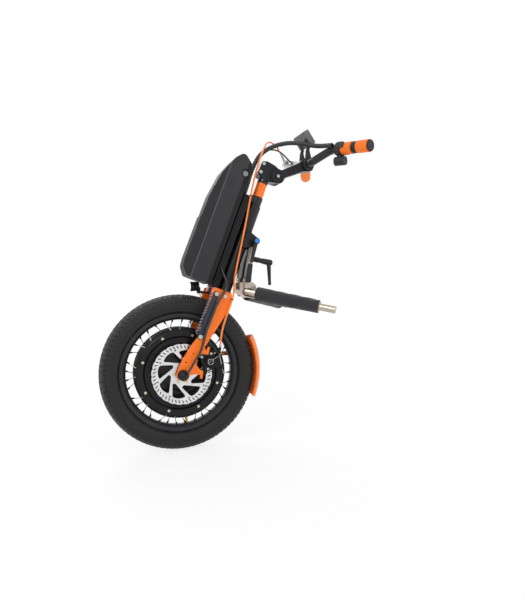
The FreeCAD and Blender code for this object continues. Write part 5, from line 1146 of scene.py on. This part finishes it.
# The docking unit
LEVER_CAP_RADIUS = 0.0064
FOAM_FROM = 0.030
FOAM_TO = 0.209
FOAM_BORE = 0.01405
FOAM_ROOT_RADIUS = 0.0205
FOAM_TIP_RADIUS = 0.0179
FOAM_ROOT_ROUND = 0.0050
FOAM_TIP_ROUND = 0.0030


def foam_swell(seed, wrinkle):
    """A slow, slight unevenness of the foam's skin, the same on every run."""
    chance = random.Random(seed)
    waves = [(chance.uniform(40, 260), chance.randint(1, 6), chance.uniform(0, math.tau))
             for _ in range(9)]

    def swell(along, angle, radius):
        if radius < FOAM_BORE + 0.001:
            return 0.0
        total = sum(math.sin(rate * along + turns * angle + start)
                    for rate, turns, start in waves)
        return wrinkle * total / 4 - wrinkle
    return swell


def make_foam(name, foot, way, seed, wrinkle, foam):
    """A foam sleeve on a docking arm, with soft rounded ends."""
    profile = [(FOAM_TO, FOAM_BORE), (FOAM_FROM, FOAM_BORE)]
    for step in range(9):
        angle = math.pi / 2 * step / 8
        profile.append((FOAM_FROM + FOAM_ROOT_ROUND * (1 - math.sin(angle)),
                        FOAM_ROOT_RADIUS - FOAM_ROOT_ROUND * (1 - math.cos(angle))))
    profile[2:] = sorted(profile[2:])
    first = FOAM_FROM + FOAM_ROOT_ROUND
    last = FOAM_TO - FOAM_TIP_ROUND
    for step in range(1, 110):
        share = step / 110
        profile.append((first + (last - first) * share,
                        FOAM_ROOT_RADIUS + (FOAM_TIP_RADIUS - FOAM_ROOT_RADIUS) * share))
    for step in range(7):
        angle = math.pi / 2 * step / 6
        profile.append((last + FOAM_TIP_ROUND * math.sin(angle),
                        FOAM_TIP_RADIUS - FOAM_TIP_ROUND * (1 - math.cos(angle))))
    piece = turned(name, foot, way, profile, 56, foam, foam_swell(seed, wrinkle), 70.0)
    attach(piece, "dock")
    return piece


def capped_lever(node, colours, way, anchor):
    """Dresses a clamping lever: black, with a blue cap in the end of its hub."""
    way = Vector(way).normalized()
    anchor = Vector(anchor)
    ends = [(vertex.co - anchor).dot(way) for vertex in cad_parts[node].data.vertices
            if (vertex.co - anchor).cross(way).length < LEVER_CAP_RADIUS + 0.001]
    finish = Finish(node + "_black", specular=0.3)
    cap = finish.maths("MULTIPLY",
                       finish.maths("GREATER_THAN", finish.along(way, anchor), max(ends) - 0.0015),
                       finish.maths("LESS_THAN", finish.off_line(way, anchor), LEVER_CAP_RADIUS))
    finish.paint(finish.blend(cap, finish.mottle(linear(36, 37, 41), 0.1, 50.0),
                              finish.mottle(tuple(colours.cap_blue), 0.08, 50.0)))
    finish.wear(0.34, 0.5)
    finish.bump(finish.cells(1500.0), 0.00006, 0.4)
    dress(finish.material, node)


class POWERASSIST_OT_dock(Operator):
    """Makes the foam sleeves and finishes the docking unit and its levers"""
    bl_idname = "powerassist.dock"
    bl_label = "Docking unit"

    def execute(self, context):
        colours = context.scene.assist_colours
        wrinkle = context.scene.assist_foam.wrinkle
        steel = brushed("stainless_long", colours.stainless, (1.0, 1.0, 0.08))
        tube_steel = brushed("stainless_tube", colours.stainless, (1, 1, 1), 0.2, 0.32)
        dress(steel, "upright", "dock_bracket")
        dress(tube_steel, "arm_sleeves", "arm_tube_left", "arm_tube_right")
        foam = foam_rubber("foam_charcoal")
        left = make_foam("foam_left", ARM_START, ARM_WAY, 11, wrinkle, foam)
        right = make_foam("foam_right", mirrored(ARM_START), mirrored(ARM_WAY), 12, wrinkle, foam)
        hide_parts("arm_foams")
        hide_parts("arm_foams")
        capped_lever("tilt_lever", colours, (1, 0, 0), (0.03, 0.21597, 0.55798))
        capped_lever("height_lever", colours, (0.0, 0.975149, -0.221548), (0, 0.2351, 0.5069))
        dress(moulded_black("cam_lever_black", linear(40, 41, 45)), "arm_lever_left",
              "arm_lever_right")
        return {"FINISHED"}


# The studio
CAMERA_PLACE = Vector((1.418, -0.223, 0.450))
CAMERA_YAW = math.radians(-71.81)
CAMERA_PITCH = math.radians(2.14)
CAMERA_ROLL = math.radians(-1.61)
FOCAL_PIXELS = 526.0
PHOTO_LONG_SIDE = 600.0
SENSOR = 36.0
FLOOR_NEAR = 0.45
FLOOR_FAR = 1.5
FLOOR_WHITE = 0.78


def make_camera():
    """The camera where the photograph was taken from."""
    forward = Vector((math.sin(CAMERA_YAW) * math.cos(CAMERA_PITCH),
                      math.cos(CAMERA_YAW) * math.cos(CAMERA_PITCH), -math.sin(CAMERA_PITCH)))
    level = Vector((math.cos(CAMERA_YAW), -math.sin(CAMERA_YAW), 0))
    raised = level.cross(forward)
    right = level * math.cos(CAMERA_ROLL) + raised * math.sin(CAMERA_ROLL)
    up = right.cross(forward)
    data = bpy.data.cameras.new("photo_camera")
    data.sensor_width = SENSOR
    data.sensor_fit = "AUTO"
    data.lens = SENSOR * FOCAL_PIXELS / PHOTO_LONG_SIDE
    camera = bpy.data.objects.new("photo_camera", data)
    bpy.context.scene.collection.objects.link(camera)
    turn = Matrix((right, up, -forward)).transposed()
    camera.matrix_world = Matrix.Translation(CAMERA_PLACE) @ turn.to_4x4()
    bpy.context.scene.camera = camera


def seen_rays(tree):
    """One for the rays that show the surroundings: seen straight, mirrored or through glass."""
    path = tree.nodes.new("ShaderNodeLightPath")
    straight = path.outputs["Is Camera Ray"]
    for other in ("Is Glossy Ray", "Is Transmission Ray"):
        either = tree.nodes.new("ShaderNodeMath")
        either.operation = "MAXIMUM"
        tree.links.new(straight, either.inputs[0])
        tree.links.new(path.outputs[other], either.inputs[1])
        straight = either.outputs[0]
    return straight


def make_floor(size):
    """A pale floor that keeps the object's shadow and shows white where nothing shades it."""
    finish = Finish("floor_white", roughness=0.5, specular=0.2)
    finish.paint(finish.blend(finish.noise(3.0, 2.0), linear(250, 250, 250), linear(255, 255, 255)))
    output = finish.tree.nodes["Material Output"]
    glow = finish.node("ShaderNodeEmission")
    glow.inputs["Color"].default_value = (1, 1, 1, 1)
    far = finish.node("ShaderNodeVectorMath", operation="LENGTH")
    finish.join(finish.place(), far.inputs[0])
    white = finish.span(far.outputs["Value"], FLOOR_NEAR, FLOOR_FAR, FLOOR_WHITE, 1.0)
    share = finish.maths("MULTIPLY", seen_rays(finish.tree), white)
    mix = finish.node("ShaderNodeMixShader")
    finish.join(share, mix.inputs["Fac"])
    finish.join(finish.shader.outputs["BSDF"], mix.inputs[1])
    finish.join(glow.outputs["Emission"], mix.inputs[2])
    finish.join(mix.outputs["Shader"], output.inputs["Surface"])
    half = size / 2
    mesh = bpy.data.meshes.new("floor")
    mesh.from_pydata([(-half, -half, 0), (half, -half, 0), (half, half, 0), (-half, half, 0)], [],
                     [(0, 1, 2, 3)])
    mesh.materials.append(finish.material)
    floor = bpy.data.objects.new("floor", mesh)
    floor.location.z = -0.0004
    bpy.context.scene.collection.objects.link(floor)


def make_light(name, place, target, size, power):
    """A soft square lamp that looks at a point of the object."""
    data = bpy.data.lights.new(name, "AREA")
    data.shape = "SQUARE"
    data.size = size
    data.energy = power
    lamp = bpy.data.objects.new(name, data)
    lamp.location = place
    way = Vector(target) - Vector(place)
    lamp.rotation_mode = "QUATERNION"
    lamp.rotation_quaternion = way.to_track_quat("-Z", "Y")
    bpy.context.scene.collection.objects.link(lamp)


def make_world(strength):
    """A plain white surrounding, seen white and lighting the object softly."""
    world = bpy.data.worlds.new("studio_world")
    world.use_nodes = True
    bpy.context.scene.world = world
    tree = world.node_tree
    soft = tree.nodes["Background"]
    soft.inputs["Color"].default_value = (1, 1, 1, 1)
    soft.inputs["Strength"].default_value = strength
    seen = tree.nodes.new("ShaderNodeBackground")
    seen.inputs["Color"].default_value = (1, 1, 1, 1)
    mix = tree.nodes.new("ShaderNodeMixShader")
    tree.links.new(seen_rays(tree), mix.inputs["Fac"])
    tree.links.new(soft.outputs["Background"], mix.inputs[1])
    tree.links.new(seen.outputs["Background"], mix.inputs[2])
    tree.links.new(mix.outputs["Shader"], tree.nodes["World Output"].inputs["Surface"])


class POWERASSIST_OT_stage(Operator):
    """Makes the floor, the lamps, the surroundings and the camera"""
    bl_idname = "powerassist.stage"
    bl_label = "Studio"

    def execute(self, context):
        studio = context.scene.assist_studio
        make_floor(studio.floor_size)
        make_light("key_lamp", (2.2, -1.6, 2.6), (0, 0.15, 0.5), 1.6, studio.key_power)
        make_light("fill_lamp", (1.6, 2.6, 1.6), (0, 0.2, 0.5), 2.2, studio.fill_power)
        make_light("back_lamp", (-2.4, -0.4, 2.4), (0, 0.15, 0.5), 1.8, studio.rim_power)
        make_world(studio.surround)
        make_camera()
        context.scene.view_settings.view_transform = "Standard"
        return {"FINISHED"}


class POWERASSIST_PT_panel(Panel):
    """Lists the steps that dress the wheelchair drive"""
    bl_idname = "POWERASSIST_PT_panel"
    bl_label = "Power assist"
    bl_space_type = "VIEW_3D"
    bl_region_type = "UI"
    bl_category = "Power assist"

    def draw(self, context):
        column = self.layout.column()
        for name, kind in SETTINGS:
            held = getattr(context.scene, name)
            for field in kind.__annotations__:
                column.prop(held, field)
        for operator in OPERATORS:
            column.operator(operator.bl_idname)


SETTINGS = (("assist_wheel", WheelSizes), ("assist_grips", GripSizes),
            ("assist_cords", CordSizes), ("assist_foam", FoamSizes),
            ("assist_colours", PaintColours), ("assist_studio", StudioSettings))
OPERATORS = (POWERASSIST_OT_stage, POWERASSIST_OT_cords, POWERASSIST_OT_wheel,
             POWERASSIST_OT_fork, POWERASSIST_OT_column, POWERASSIST_OT_bar,
             POWERASSIST_OT_dock)


def register():
    for name, kind in SETTINGS:
        bpy.utils.register_class(kind)
        setattr(bpy.types.Scene, name, PointerProperty(type=kind))
    for kind in (*OPERATORS, POWERASSIST_PT_panel):
        bpy.utils.register_class(kind)


def unregister():
    for kind in (POWERASSIST_PT_panel, *reversed(OPERATORS)):
        bpy.utils.unregister_class(kind)
    for name, kind in reversed(SETTINGS):
        delattr(bpy.types.Scene, name)
        bpy.utils.unregister_class(kind)


def main():
    register()
    bpy.ops.powerassist.stage()
    bpy.ops.powerassist.cords()
    bpy.ops.powerassist.wheel()
    bpy.ops.powerassist.fork()
    bpy.ops.powerassist.column()
    bpy.ops.powerassist.bar()
    bpy.ops.powerassist.dock()
    bpy.context.view_layer.update()


if __name__ == "__main__":
    main()
